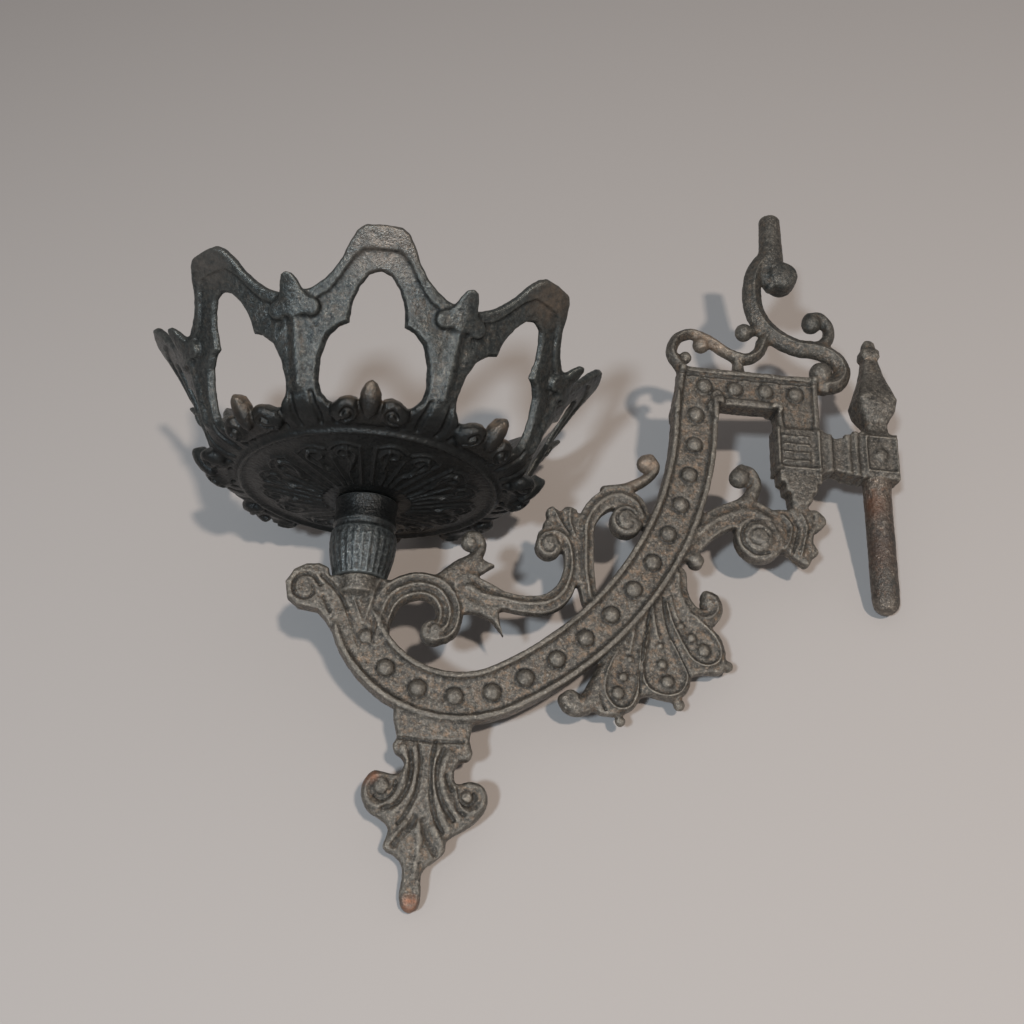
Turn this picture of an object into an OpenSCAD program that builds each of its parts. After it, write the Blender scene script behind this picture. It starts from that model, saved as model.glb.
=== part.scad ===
// Swing-arm wall bracket in cast iron with a crown-shaped cup for an oil-lamp font.
// The frame: Z runs up the hinge pin's axis, the origin is where the pin leaves the
// hinge block, the arm reaches towards -X and its moulded faces look along -Y and +Y.
// The flat castings are drawn in (x, z) and given their thickness along Y.

/* [Cup] */
// Reach from the hinge pin's axis to the cup's axis
reach = 164; // [160:0.5:168]
// Number of arched bays round the crown
bay_count = 8; // [8]
// Thickness of the crown's cast wall
wall_t = 3.2; // [2.6:0.1:3.6]
// Radius of the flat round underside, to the middle of its bead
disc_r = 39.3; // [38.5:0.1:40]
// Thickness of the cup's floor at its hub
floor_t = 3.8; // [3.4:0.1:4]

/* [Arm] */
// Radius of the long sweep of the beaded band, to its middle
sweep_r = 110; // [110]
// Radius of the bowl at the foot of the beaded band, to its middle
bowl_r = 32; // [32]
// Half the width of the beaded band
band_hw = 7.5; // [7.3:0.1:7.6]
// Width of the raised rim on each edge of the band
rim_w = 2.3; // [1.8:0.1:2.6]
// Half the thickness of the band at its sunk floor
floor_half = 2.7; // [2.4:0.1:3]
// Half the thickness of the band at its rims
rim_half = 3.7; // [3.5:0.1:4]
// Radius of the beads along the band
bead_r = 2.6; // [2.2:0.1:2.8]
// Half the thickness of the scrolls at their edges
scroll_half = 2.3; // [2:0.1:2.6]
// Half the thickness of the scrolls along their middle rib
rib_half = 3.4; // [3.1:0.1:3.8]

/* [Hinge] */
// Radius of the hinge pin
pin_r = 4.75; // [4.6:0.05:5]
// Length of the hinge pin below the block, with its round end
pin_len = 45.5; // [40:0.5:46]
// Height of the hinge block
block_h = 16.8; // [16:0.1:17]
// Half the depth of the hinge block
block_half = 5; // [5:0.1:5.4]

/* [Fixing] */
// Radius of the screw that holds the cup and its pedestal on the arm
screw_r = 2.4; // [2.2:0.1:2.6]
// Radial clearance of the screw in the cup's hub, which turns on it
turn_gap = 0.08; // [0.05:0.01:0.1]

/* [Spigot] */
// Radius of the reflector spigot at its foot
spigot_r = 3.9; // [3.7:0.1:4]
// Height of the spigot's tip above the origin
spigot_top = 101; // [100:0.5:104]

/* [Hidden] */
$fn = 48;

// Centres of the band's two arcs, which share a tangent where the bowl begins
sweep_c = [-170.6, 19.4];
bowl_from = -62;
bowl_to = -153;
bowl_c = sweep_c + (sweep_r - bowl_r) * [cos(bowl_from), sin(bowl_from)];

// Heights of the cup, from the screw's hub up to the crown's tops
hub_z = -22;
hub_r = 11.5;
floor_top = -13.5;
bay = 360 / bay_count;
// Outer wall of the crown as (radius, z), from the bowl's lip to the merlons' tops
wall_profile = [[51.4, -11], [53.6, -5.6], [55.7, 0], [58.2, 6.1], [61.1, 12],
                [64.4, 18], [68.2, 23.5], [72.8, 28.8]];

// ---- curves -------------------------------------------------------------------------

// Catmull-Rom curve through hand-set points; a third number is the half width there
function blend4(a, b, c, d, t) =
    0.5 * (2 * b + (c - a) * t + (2 * a - 5 * b + 4 * c - d) * t * t
           + (3 * b - a - 3 * c + d) * t * t * t);
function open_curve(p, steps = 5) =
    let (last = len(p) - 1)
    [for (i = [0:last - 1], j = [0:steps - 1])
         blend4(p[max(i - 1, 0)], p[i], p[i + 1], p[min(i + 2, last)], j / steps),
     p[last]];
function closed_curve(p, steps = 4) =
    let (m = len(p))
    [for (i = [0:m - 1], j = [0:steps - 1])
         blend4(p[(i + m - 1) % m], p[i], p[(i + 1) % m], p[(i + 2) % m], j / steps)];

// One edge of a ribbon: side is +1 for the left of its course and -1 for the right
function heading(q, i) =
    let (d = q[min(i + 1, len(q) - 1)] - q[max(i - 1, 0)])
    [d[0], d[1]] / norm([d[0], d[1]]);
function ribbon_edge(q, side, share) =
    [for (i = [0:len(q) - 1])
         let (h = heading(q, i))
         [q[i][0] - side * share * q[i][2] * h[1], q[i][1] + side * share * q[i][2] * h[0]]];
function reversed(list) = [for (i = [len(list) - 1:-1:0]) list[i]];
// The right half of an outline and its mirror image, as one closed outline
function mirrored(right) = concat(right, reversed([for (p = right) if (p[0] > 0) [-p[0], p[1]]]));

// A ribbon of changing width along a course of (x, z, half width)
module ribbon(course, share = 1, steps = 5) {
    q = open_curve(course, steps);
    polygon(concat(ribbon_edge(q, 1, share), reversed(ribbon_edge(q, -1, share))));
}

// Stands an (x, z) outline up and gives it the same thickness on both sides of y = 0
module cast(half) {
    rotate([90, 0, 0]) linear_extrude(2 * half, center = true) children();
}

// A scroll: a ribbon with a narrower rib raised on both faces
module scroll(course, steps = 5) {
    cast(scroll_half) ribbon(course, 1, steps);
    cast(rib_half) ribbon(course, 0.55, steps);
}

// A round boss through the casting, such as a volute's eye
module boss(x, z, r, half) {
    translate([x, 0, z]) rotate([90, 0, 0]) cylinder(r = r, h = 2 * half, center = true);
}

// A round knob, as deep as it is wide
module knob(x, z, r) {
    translate([x, 0, z]) sphere(r);
}

// ---- beaded band --------------------------------------------------------------------

// Cross-section of the band as (distance from the arc's centre, thickness)
module band_section(r) {
    translate([r - band_hw, -floor_half]) square([2 * band_hw, 2 * floor_half]);
    for (edge = [r - band_hw, r + band_hw - rim_w])
        translate([edge, -rim_half]) square([rim_w, 2 * rim_half]);
}

// Arc of the band about centre c between two angles measured from +X towards +Z
module band_arc(c, r, low, high) {
    translate([c[0], 0, c[1]]) rotate([90, 0, 0]) rotate([0, 0, low])
        rotate_extrude(angle = high - low, $fn = 96) band_section(r);
}

// Solid sector that the band's neighbours are cut back from
module band_room(c, r, low, high) {
    translate([c[0], 0, c[1]]) rotate([90, 0, 0]) rotate([0, 0, low])
        rotate_extrude(angle = high - low, $fn = 96)
            translate([r - band_hw, -10]) square([2 * band_hw, 20]);
}
module sweep_room() { band_room(sweep_c, sweep_r, bowl_from, 0); }
module bowl_room() { band_room(bowl_c, bowl_r, bowl_to, bowl_from); }

// Beads on both faces at the given places
module beads(places) {
    for (p = places, y = [-1, 1])
        translate([p[0], y * (rim_half + 0.4 - bead_r), p[1]]) sphere(bead_r, $fn = 32);
}
function on_arc(c, r, a) = c + r * [cos(a), sin(a)];

module arm_sweep() {
    pitch = 5.78;
    color("dimgray") union() {
        band_arc(sweep_c, sweep_r, bowl_from, 0);
        beads([for (k = [0:9]) on_arc(sweep_c, sweep_r, -1.6 - pitch * k)]);
    }
}

module arm_bowl() {
    pitch = 19.8;
    color("dimgray") union() {
        band_arc(bowl_c, bowl_r, bowl_to, bowl_from);
        beads([for (k = [0:3]) on_arc(bowl_c, bowl_r, -70 - pitch * k)]);
    }
}

// ---- square frame over the band and the shield that hangs from it --------------------

frame_left = -68.1;
frame_right = -19;
frame_top = 35.6;
bar_under = 22;
shield_top = 15.8;

module frame_outline() {
    polygon([[frame_left, sweep_c[1]], [sweep_c[0] + sweep_r + band_hw, sweep_c[1]],
             [-53.1, bar_under], [-33.5, bar_under], [-33.5, shield_top],
             [frame_right, shield_top], [frame_right, frame_top], [-65.6, frame_top]]);
}

module top_frame() {
    color("dimgray") union() {
        cast(floor_half) frame_outline();
        // Raised rims along the top, the two ends and the slot's upper edge
        cast(rim_half) polygon([[-65.6, frame_top], [-66.2, 33.2], [frame_right, 33.2],
                                [frame_right, frame_top]]);
        cast(rim_half) polygon([[frame_left, sweep_c[1]], [frame_left + rim_w, sweep_c[1]],
                                [-63.5, 33.2], [-66.2, 33.2]]);
        cast(rim_half) polygon([[frame_right - 3.4, shield_top], [frame_right, shield_top],
                                [frame_right, 33.2], [frame_right - 3.4, 33.2]]);
        cast(rim_half) polygon([[-55.4, sweep_c[1]], [-53.1, sweep_c[1]], [-53.1, bar_under],
                                [-33.5, bar_under], [-33.5, 24.4], [-55.4, 24.4]]);
        beads([for (k = [0:3]) [-57.6 + 10.3 * k, 28.6]]);
    }
}

// Stepped block with a sunk panel and rows of short bars
module shield_block() {
    left = -34.6;
    half = 4.5;
    panel = 0.9;
    color("dimgray") union() {
        difference() {
            cast(half) polygon([[left, shield_top], [left, 0], [-33, 0], [-33, -3], [-31.6, -3],
                                [-31.6, -8], [-29.8, -8], [-29.8, -11.5], [-24.4, -11.5],
                                [-24.4, -8], [-22, -8], [-22, -3], [-20.4, -3], [-20.4, 0],
                                [frame_right, 0], [frame_right, shield_top]]);
            for (side = [-1, 1])
                translate([0, side * half, 0])
                    cast(panel) polygon([[-32.4, 2], [-21.2, 2], [-21.2, 14], [-32.4, 14]]);
        }
        for (row = [0:3], x = [-29.9, -25.4])
            translate([x - 1.6, -half + 0.3, 3.2 + 2.8 * row]) cube([3.2, 2 * half - 0.6, 1.4]);
    }
}

// ---- hinge -----------------------------------------------------------------------------

block_in = -5.6;
block_out = 7.2;

// Waisted neck, moulded edge and the block, with a sunk square and a small boss each side
module hinge_block() {
    sink = 0.9;
    mid = (block_in + block_out) / 2;
    color("dimgray") union() {
        difference() {
            union() {
                cast(block_half) polygon([[block_in, 0], [block_out, 0], [block_out, block_h],
                                          [block_in, block_h]]);
                cast(4.2) polygon(concat([[frame_right, 0.3], [frame_right, 15.6]],
                    open_curve([[-17.4, 15.4], [-14.5, 13.4], [-11, 14.2], [-8.6, 16]], 4),
                    [[block_in, 16.4], [block_in, 0.2]],
                    open_curve([[-8.6, 0.4], [-11.4, 0.9], [-14.5, 1.7], [-17.4, 0.5]], 4)));
                cast(4.8) polygon([[-8.4, 0.2], [-6.8, 0.2], [-6.8, 16.4], [-8.4, 16.4]]);
                cast(4.8) polygon([[-17.2, 0.9], [-15.8, 1.4], [-15.8, 13.9], [-17.2, 14.9]]);
            }
            for (side = [-1, 1])
                translate([0, side * block_half, 0])
                    cast(sink) polygon([[mid - 4.4, 2.2], [mid + 4.4, 2.2],
                                        [mid + 4.4, block_h - 2.2], [mid - 4.4, block_h - 2.2]]);
        }
        boss(mid, block_h / 2, 1.9, block_half - 0.2);
    }
}

// Plain round pin with a domed end, cast in one with the block
module hinge_pin() {
    color("sienna") rotate([180, 0, 0]) {
        cylinder(r = pin_r, h = pin_len - pin_r);
        intersection() {
            translate([0, 0, pin_len - pin_r]) sphere(pin_r);
            translate([0, 0, pin_len - pin_r]) cylinder(r = pin_r + 1, h = pin_r + 1);
        }
    }
}

// Square spear: its profile in both upright planes, so that the edges are mitred
module spear_finial() {
    foot = block_h;
    half_profile = [[3.9, foot], [3.8, foot + 3.6], [6.3, foot + 8.2], [7, foot + 12],
                    [5.6, foot + 16.5], [3.9, foot + 22], [2.7, foot + 28.4],
                    [3.4, foot + 30], [3.3, foot + 32], [2.3, foot + 33.4],
                    [2.1, foot + 35.4], [0.9, foot + 37.3]];
    color("dimgray") translate([0.7, 0, 0]) intersection() {
        cast(8) polygon(mirrored(half_profile));
        rotate([0, 0, 90]) cast(8) polygon(mirrored(half_profile));
    }
}

// ---- scrollwork -------------------------------------------------------------------------

seat_z = -47;
ray_in = on_arc(bowl_c, bowl_r - band_hw, bowl_to);
ray_out = on_arc(bowl_c, bowl_r + band_hw, bowl_to);

// Leaf-shaped head under the pedestal, ending in a round volute; the seat is its flat top
module seat_outline() {
    polygon(concat(
        [ray_in, [-155.4, -56], [-155.4, seat_z], [-172.6, seat_z]],
        open_curve([[-173.2, -44.2], [-176, -43.2], [-180, -43.8], [-184, -46.2],
                    [-185.8, -50.6], [-184.2, -55.2], [-180, -57.4], [-176, -58.4],
                    [-173, -60.6], [-170.9, -63.6]], 4),
        [ray_out]));
}
module seat_volute() {
    color("dimgray") difference() {
        union() {
            cast(scroll_half + 1) seat_outline();
            boss(-179.4, -50.8, 5, rib_half + 0.8);
            translate([-reach, 0, seat_z]) mirror([0, 0, 1]) cylinder(r = 6.4, h = 9);
        }
        translate([-reach, 0, seat_z - 11]) cylinder(r = screw_r, h = 12);
        bowl_room();
    }
}

c_course = [[-157.5, -66, 3.2], [-156.6, -58, 4], [-153.8, -51.5, 4.4], [-147, -47.9, 4.5],
            [-140.2, -49.2, 4.4], [-136.6, -54.5, 4.3], [-137.2, -60.5, 4],
            [-140.3, -62.8, 3.2]];
module c_scroll() {
    twig = [[-138.5, -46, 3.6], [-134, -41, 3], [-129.6, -37.2, 2.1], [-127.9, -33.3, 1.7],
            [-129.4, -30.3, 1.6], [-132, -30.4, 1.6]];
    color("dimgray") difference() {
        union() {
            scroll(c_course);
            boss(-140.6, -62.4, 3.7, rib_half);
            scroll(twig);
            knob(-131.6, -32.4, 3);
            cast(scroll_half) polygon([[-129.6, -36.8], [-123.2, -39.4], [-127.4, -42.6],
                                       [-130.4, -45.6], [-136, -46]]);
        }
        bowl_room();
        cast(10) seat_outline();
        translate([-reach, 0, seat_z - 1]) cylinder(r = 8.9, h = 20);
    }
}

// Room of the C-scroll, for its neighbours to be cut back from
module c_room() {
    cast(10) ribbon(c_course);
    cast(10) polygon([[-129.6, -36.8], [-123.2, -39.4], [-127.4, -42.6], [-130.4, -45.6],
                      [-136, -46]]);
}

lower_stem = [[-131, -47.5, 4.6], [-126, -50, 4.8], [-120.5, -50.6, 3], [-113.5, -51.4, 3],
              [-107, -50.4, 3.2], [-102.4, -46.4, 3], [-100.3, -40, 2.4], [-100.4, -34, 2.2],
              [-102.2, -29.2, 2.1], [-105.6, -27.3, 2.1], [-109, -28.4, 2]];
module lower_branch() {
    color("dimgray") difference() {
        union() {
            scroll(lower_stem);
            boss(-107.3, -31.8, 4.3, rib_half);
            // Hooked leaf below the stem
            cast(scroll_half) polygon(concat(
                [[-133, -52]], open_curve([[-132.4, -55.3], [-127.6, -55.6], [-123.6, -57.4],
                [-119.9, -61.9]], 4), open_curve([[-121.2, -57], [-121.6, -53.4],
                [-118.5, -52]], 3)));
            // Leaf tips over the volute
            cast(scroll_half) polygon([[-109, -27.4], [-108.8, -22.8], [-107.4, -18.4],
                [-104.2, -19.8], [-100.8, -17], [-98.5, -18.6], [-98.5, -30], [-103, -30]]);
        }
        c_room();
        sweep_room();
        cast(10) ribbon(upper_stem);
    }
}

upper_stem = [[-94.2, -48, 2.6], [-95.6, -40, 2.9], [-95.9, -31, 2.9], [-95.6, -23, 3],
              [-92, -16.6, 3.3], [-86, -13.2, 3.7], [-80.4, -15.2, 3.2], [-78, -20, 2.6]];
module upper_branch() {
    twig = [[-90.2, -10.6, 1.3], [-85, -10.4, 2], [-79.6, -8, 2], [-75.4, -4.6, 1.8],
            [-73.6, -1.4, 1.7], [-75.2, 1.4, 1.6]];
    color("dimgray") difference() {
        union() {
            scroll(upper_stem);
            boss(-83, -21.5, 5, rib_half);
            scroll(twig);
            knob(-76.6, -0.4, 3.2);
        }
        sweep_room();
    }
}

module right_branch() {
    stem = [[-64, -29, 4], [-57, -21, 4.2], [-50, -16.6, 4.5], [-43.5, -14.8, 4.6],
            [-37.8, -17.4, 4.2], [-35, -23, 3.4]];
    twig = [[-47, -14.5, 3.2], [-42.6, -9, 2.6], [-40.8, -4.2, 2.1], [-42.2, -0.4, 1.9],
            [-45.4, 0.6, 1.8]];
    color("dimgray") difference() {
        union() {
            scroll(stem);
            boss(-40.4, -23.4, 7.6, scroll_half);
            boss(-41.4, -23.8, 4.6, rib_half + 0.6);
            scroll(twig);
            knob(-46, -2.5, 3.5);
            // Lobed leaf that carries the shield's foot
            cast(scroll_half + 0.5) polygon(closed_curve([[-36, -14.4], [-31.4, -12.9],
                [-26, -13.2], [-22.2, -11.9], [-18.9, -14], [-18.2, -16.6], [-20.2, -18.8],
                [-22.4, -20.6], [-22.8, -24], [-21.2, -26.8], [-23.4, -29], [-25, -31.8],
                [-28.4, -30.4], [-31.8, -27.6], [-35, -25]], 3));
            cast(scroll_half + 0.5) polygon([[-30, -14], [-30, -11.5], [-24.2, -11.5],
                                             [-24.2, -14]]);
            boss(-60.8, -32.8, 2.5, rib_half);
        }
        sweep_room();
    }
}

// ---- palmette under the sweep -------------------------------------------------------------

// One beaded lobe: a drop shape from root to tip with a sunk middle and a row of beads
module lobe(root, tip, half_w) {
    d = tip - root;
    length = norm(d);
    turn = atan2(d[1], d[0]);
    drop = [[0, 1.6], [0.35 * length, 0.62 * half_w], [0.62 * length, half_w],
            [0.85 * length, 0.92 * half_w], [length - 1, 0.35 * half_w]];
    side = open_curve(drop, 3);
    translate([root[0], 0, root[1]]) rotate([0, -turn, 0]) {
        rotate([0, 90, 0]) cast(scroll_half) polygon(mirrored([for (p = side) [p[1], p[0]]]));
        for (k = [0:2], y = [-1, 1])
            translate([(0.42 + 0.19 * k) * length, y * (scroll_half - 0.8), 0])
                sphere(1.2 + 0.3 * k, $fn = 24);
    }
    boss(tip[0], tip[1], 1.9, scroll_half);
}

module palmette_fan() {
    curl = [[-67, -38, 3.2], [-66.6, -44.5, 3.4], [-63.4, -50.4, 3.5], [-58, -51.6, 3],
            [-54.8, -48.6, 2.1], [-55.4, -44.9, 1.8], [-58, -43.8, 1.6]];
    hook = [[-86, -65, 3.2], [-90, -73, 3.3], [-94, -79.8, 3.2], [-98.6, -81.8, 2.6],
            [-101.2, -79.6, 2]];
    color("dimgray") difference() {
        union() {
            scroll(curl);
            knob(-57, -46.4, 3);
            lobe([-69, -49], [-52.4, -65.4], 5.4);
            lobe([-76, -55], [-66.8, -78.4], 5.8);
            lobe([-83, -60], [-84.6, -84.4], 5.6);
            scroll(hook);
            boss(-99.2, -79.4, 3, rib_half);
            cast(scroll_half - 0.4) polygon([[-64, -38], [-64, -52], [-60.5, -68],
                [-68, -74], [-78, -78], [-88, -80], [-92, -74], [-88, -62]]);
        }
        sweep_room();
        bowl_room();
    }
}

// ---- acanthus drop below the bowl ----------------------------------------------------------

drop_c = [-138.4, -88.6];
drop_lean = -3.6;
module drop_half_outline() {
    polygon(concat(
        [[0, 4], [10.3, 4], [10.3, -5.4]],
        open_curve([[11.2, -8.2], [10, -11], [7.6, -12.6], [7, -15.2], [8.6, -16.8],
                    [12.6, -15.8], [16.8, -18], [18.2, -22], [16.6, -26.2], [13, -28.2],
                    [10.8, -30.2], [9.4, -33], [9.3, -36], [7.4, -38.4], [4.6, -40],
                    [3.3, -43], [3, -47.4], [3.3, -50.4]], 3),
        [[0, -50.4]]));
}
module drop_half(side) {
    mirror([side < 0 ? 1 : 0, 0, 0]) {
        cast(scroll_half + 0.4) drop_half_outline();
        boss(12.6, -22.2, 5.2, rib_half);
        boss(9, -8.4, 2, rib_half);
        cast(rib_half) ribbon([[8.4, -6, 1.4], [5.4, -9, 1.5], [4.4, -15, 1.4],
                               [5.6, -23, 1.5], [9, -28.2, 1.4]], 1, 4);
        cast(rib_half) ribbon([[2, -27, 0.9], [3.6, -32, 1.1], [7, -36.6, 0.8]], 1, 3);
    }
}
module drop_finial() {
    color("dimgray") difference() {
        translate([drop_c[0], 0, drop_c[1]]) rotate([0, -drop_lean, 0]) union() {
            drop_half(1);
            drop_half(-1);
            cast(rib_half) polygon([[-1.6, -6], [1.6, -6], [2.6, -46], [-2.6, -46]]);
            knob(0, -50, 3.4);
        }
        translate([bowl_c[0], 0, bowl_c[1]]) rotate([90, 0, 0])
            cylinder(r = bowl_r + band_hw, h = 20, center = true, $fn = 96);
    }
}

// ---- crest on the frame ---------------------------------------------------------------------

module crest_loop() {
    loop = [[-64.6, 36.2, 2.2], [-67.9, 41.5, 2.1], [-66, 47.4, 2], [-60.8, 49.8, 2],
            [-55, 47.6, 2.2], [-48.4, 43.4, 2.1], [-42.4, 42, 2.2], [-38.2, 44.6, 2.2],
            [-36.4, 48.8, 2.4], [-34.8, 52, 2.4]];
    color("dimgray") difference() {
        union() {
            scroll(loop);
            knob(-57.8, 45.8, 2.9);
            knob(-63.2, 40.4, 2.2);
            cast(scroll_half) polygon([[-47.6, frame_top], [-43, frame_top], [-44, 42],
                                       [-46.6, 43]]);
        }
        cast(10) ribbon(crest_course);
        translate([0, 0, frame_top - 20]) cube([200, 40, 40], center = true);
    }
}

crest_course = [[-33.6, 84, 3], [-38, 77, 3], [-39.5, 67, 3.2], [-37.6, 58.4, 3.3],
                [-32.4, 52.2, 3.2], [-24.8, 48.6, 3.1], [-17.4, 48, 3], [-11.4, 45.2, 2.9],
                [-9, 40.4, 2.8], [-11, 35.6, 2.7], [-15.6, 33.8, 2.4]];
module crest_scroll() {
    curl = [[-17.5, 48, 2.4], [-13.4, 52.8, 2.2], [-13, 57.4, 2.1], [-15.8, 61, 2],
            [-19.4, 60.8, 1.9]];
    color("dimgray") difference() {
        union() {
            scroll(crest_course);
            scroll(curl);
            knob(-18.8, 58.4, 3.5);
            knob(-28.9, 75.4, 5.4);
            scroll([[-32, 80.5, 2.6], [-35, 76.6, 2.2], [-33, 71.6, 1.7]], 4);
            knob(-42.8, 52.4, 3.2);
            scroll([[-42.6, 52.4, 1.9], [-39.6, 53.2, 1.8], [-36.6, 54.6, 1.8]], 3);
            knob(-16.6, 39.2, 4);
            cast(scroll_half) polygon([[-19, 31.5], [-14.8, 31.5], [-14.8, 39], [-19, 39]]);
        }
        cast(10) frame_outline();
        translate([-32, 0, 82.5]) cylinder(r = 20, h = 40);
    }
}

module reflector_spigot() {
    shoulder = 82.5;
    color("dimgray") translate([-32, 0, 0]) {
        translate([0, 0, shoulder]) cylinder(r = spigot_r, h = spigot_top - shoulder - 1.2);
        translate([0, 0, spigot_top - 1.2])
            rotate_extrude() polygon([[0, 0], [spigot_r, 0], [spigot_r - 1, 1.2], [0, 1.2]]);
    }
}

// ---- pedestal and its screw -------------------------------------------------------------------

screw_gap = 0.3;
module pedestal() {
    flutes = 16;
    color("darkslategray") translate([-reach, 0, 0]) difference() {
        rotate_extrude() polygon([[screw_r + screw_gap, seat_z], [8.2, seat_z], [8.2, -46],
            [9, -43.6], [9.9, -40], [10.3, -36], [10.2, -33], [9.6, -31], [10.2, -30.6],
            [10.9, -29], [11, -27], [10.9, -25.4], [10.2, -24], [10.2, hub_z],
            [screw_r + screw_gap, hub_z]]);
        for (k = [0:flutes - 1])
            rotate([0, 0, k * 360 / flutes]) translate([10.9, 0, -44])
                cylinder(r = 1.3, h = 11.5, $fn = 24);
    }
}

washer_t = 1.2;
hub_top = hub_z + floor_t;
module screw_washer() {
    color("dimgray") translate([-reach, 0, hub_top]) difference() {
        cylinder(r = 7, h = washer_t);
        translate([0, 0, -1]) cylinder(r = screw_r + 0.2, h = washer_t + 2);
    }
}

module cup_screw() {
    head_r = 4.6;
    head_h = 3;
    under_head = hub_top + washer_t;
    color("dimgray") translate([-reach, 0, 0]) difference() {
        union() {
            translate([0, 0, seat_z - 10]) cylinder(r = screw_r, h = under_head - seat_z + 10);
            translate([0, 0, under_head]) rotate_extrude()
                polygon([[0, 0], [head_r, 0], [head_r, 1.4], [head_r - 1.2, head_h - 0.3],
                         [head_r - 2.4, head_h], [0, head_h]]);
        }
        translate([-head_r - 1, -0.6, under_head + head_h - 1.3])
            cube([2 * head_r + 2, 1.2, 4]);
    }
}

// ---- cup ----------------------------------------------------------------------------------------

// Floor: a shallow cone below with a bead round it, and a flat ring above for the font
module cup_floor() {
    bore_r = screw_r + turn_gap;
    color("darkslategray") translate([-reach, 0, 0]) rotate_extrude($fn = 96) {
        polygon([[bore_r, hub_z], [hub_r, hub_z], [disc_r - 1.6, -17.2], [disc_r, -17.2],
                 [disc_r, floor_top], [31, floor_top], [15, hub_top], [bore_r, hub_top]]);
        translate([disc_r - 1.4, -17]) circle(1.4, $fn = 32);
    }
}

// Flared bowl between the floor and the crown, its lip notched by the bays, with a fleur
// in each notch
module cup_bowl() {
    color("darkslategray") translate([-reach, 0, 0]) union() {
        difference() {
            rotate_extrude($fn = 96)
                polygon([[disc_r, -16.9], [45, -15.4], [49, -13.4], [51.4, -11],
                         [51.4 - wall_t, -11], [46.4, -12.4], [43.6, floor_top],
                         [disc_r, floor_top]]);
            for (k = [0:bay_count - 1]) rotate([0, 0, k * bay]) bay_opening();
        }
        for (k = [0:bay_count - 1]) rotate([0, 0, k * bay]) fleur();
    }
}

// Fleur in the slope of the bowl on the radius to -Y: a bud between two volutes
module fleur() {
    slope = 35;
    translate([0, -43.6, -15.2]) rotate([-slope, 0, 0]) {
        for (side = [-1, 1]) {
            translate([5.6 * side, -4.2, -1.9]) cylinder(r = 4.1, h = 4.2);
            translate([9.2 * side, -2.8, -1.6]) cylinder(r = 2.6, h = 3.5);
        }
        translate([-4.5, -4, -1.2]) cube([9, 5, 3]);
        rotate([90, 0, 0]) rotate_extrude($fn = 32)
            polygon([[0, 2], [1.8, 3], [2.7, 6.6], [2.3, 9.2], [1, 11.2], [0, 12]]);
    }
}

// Keyhole-shaped arch with a cusp on each side, cut along the radius that runs to -Y
module bay_opening() {
    lower = open_curve([[7.2, 6.2], [10.2, 5.2], [13, 2.8], [14.6, -2], [14.8, -7.4],
                        [13.6, -11.6], [10, -13.8], [4.6, -14.5], [0, -14.6]], 3);
    upper = open_curve([[0, 18.4], [2.7, 17.6], [5, 15], [6.7, 11.4], [7.1, 8.4]], 3);
    right = concat(upper, lower);
    translate([0, -44.4, 0]) rotate([90, 0, 0]) linear_extrude(40) polygon(mirrored(right));
}

// The notch over a post, between the tops of two merlons, along the radius to -Y
module crown_notch() {
    right = concat([[0, 14.5]],
        open_curve([[2.7, 14.7], [5.6, 15.5], [8.3, 16.7], [11.2, 18.6], [15, 22],
                    [17.2, 24.6], [20, 27.4], [22.8, 29]], 3),
        [[23.6, 34]]);
    translate([0, -50, 0]) rotate([90, 0, 0]) linear_extrude(40) polygon(mirrored(right));
}

// Sector of the crown's revolved wall about the radius to -Y, pushed outwards by lift
module wall_sector(profile, width, lift, thick) {
    rotate([0, 0, -90 - width / 2]) rotate_extrude(angle = width, $fn = 96)
        polygon(concat([for (p = profile) [p[0] + lift, p[1]]],
                       reversed([for (p = profile) [p[0] + lift - thick, p[1]]])));
}

// Post between two bays with half a merlon on each side, a raised flute up its middle,
// two small volutes and a leaf tip that leans outwards; it is drawn on the radius to -Y
module crown_post_shape() {
    flute_profile = [[51.4, -11], [53.6, -5.6], [59, 8]];
    tip_profile = [[58.6, 7], [60.8, 11.2], [64.2, 14.4], [68, 17.8]];
    difference() {
        wall_sector(wall_profile, bay, 0, wall_t);
        for (side = [-1, 1]) rotate([0, 0, side * bay / 2]) bay_opening();
        crown_notch();
    }
    wall_sector(flute_profile, 3.8, 1.4, 3);
    for (side = [-1, 1])
        translate([4.9 * side, -58.4, 10.5]) rotate([90, 0, 0]) cylinder(r = 2.7, h = 4.2);
    intersection() {
        wall_sector(tip_profile, 14, 0.6, 3.4);
        translate([0, -50, 0]) rotate([90, 0, 0]) linear_extrude(30)
            polygon(closed_curve([[-3.2, 7.4], [3.2, 7.4], [4.7, 11.4], [4, 15], [2.2, 17.3],
                                  [0, 18.3], [-2.2, 17.3], [-4, 15], [-4.7, 11.4]], 3));
    }
}
module crown_post(k) {
    color("darkslategray") translate([-reach, 0, 0]) rotate([0, 0, (k + 0.5) * bay])
        crown_post_shape();
}

arm_bowl();
arm_sweep();
top_frame();
shield_block();
hinge_block();
hinge_pin();
spear_finial();
seat_volute();
c_scroll();
lower_branch();
upper_branch();
right_branch();
palmette_fan();
drop_finial();
crest_loop();
crest_scroll();
reflector_spigot();
pedestal();
cup_screw();
screw_washer();
cup_floor();
cup_bowl();
crown_post(0);  // crown_post_1
crown_post(1);  // crown_post_2
crown_post(2);  // crown_post_3
crown_post(3);  // crown_post_4
crown_post(4);  // crown_post_5
crown_post(5);  // crown_post_6
crown_post(6);  // crown_post_7
crown_post(7);  // crown_post_8
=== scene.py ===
import math
from itertools import product

import bpy
import numpy as np
from mathutils import Matrix, Vector


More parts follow.
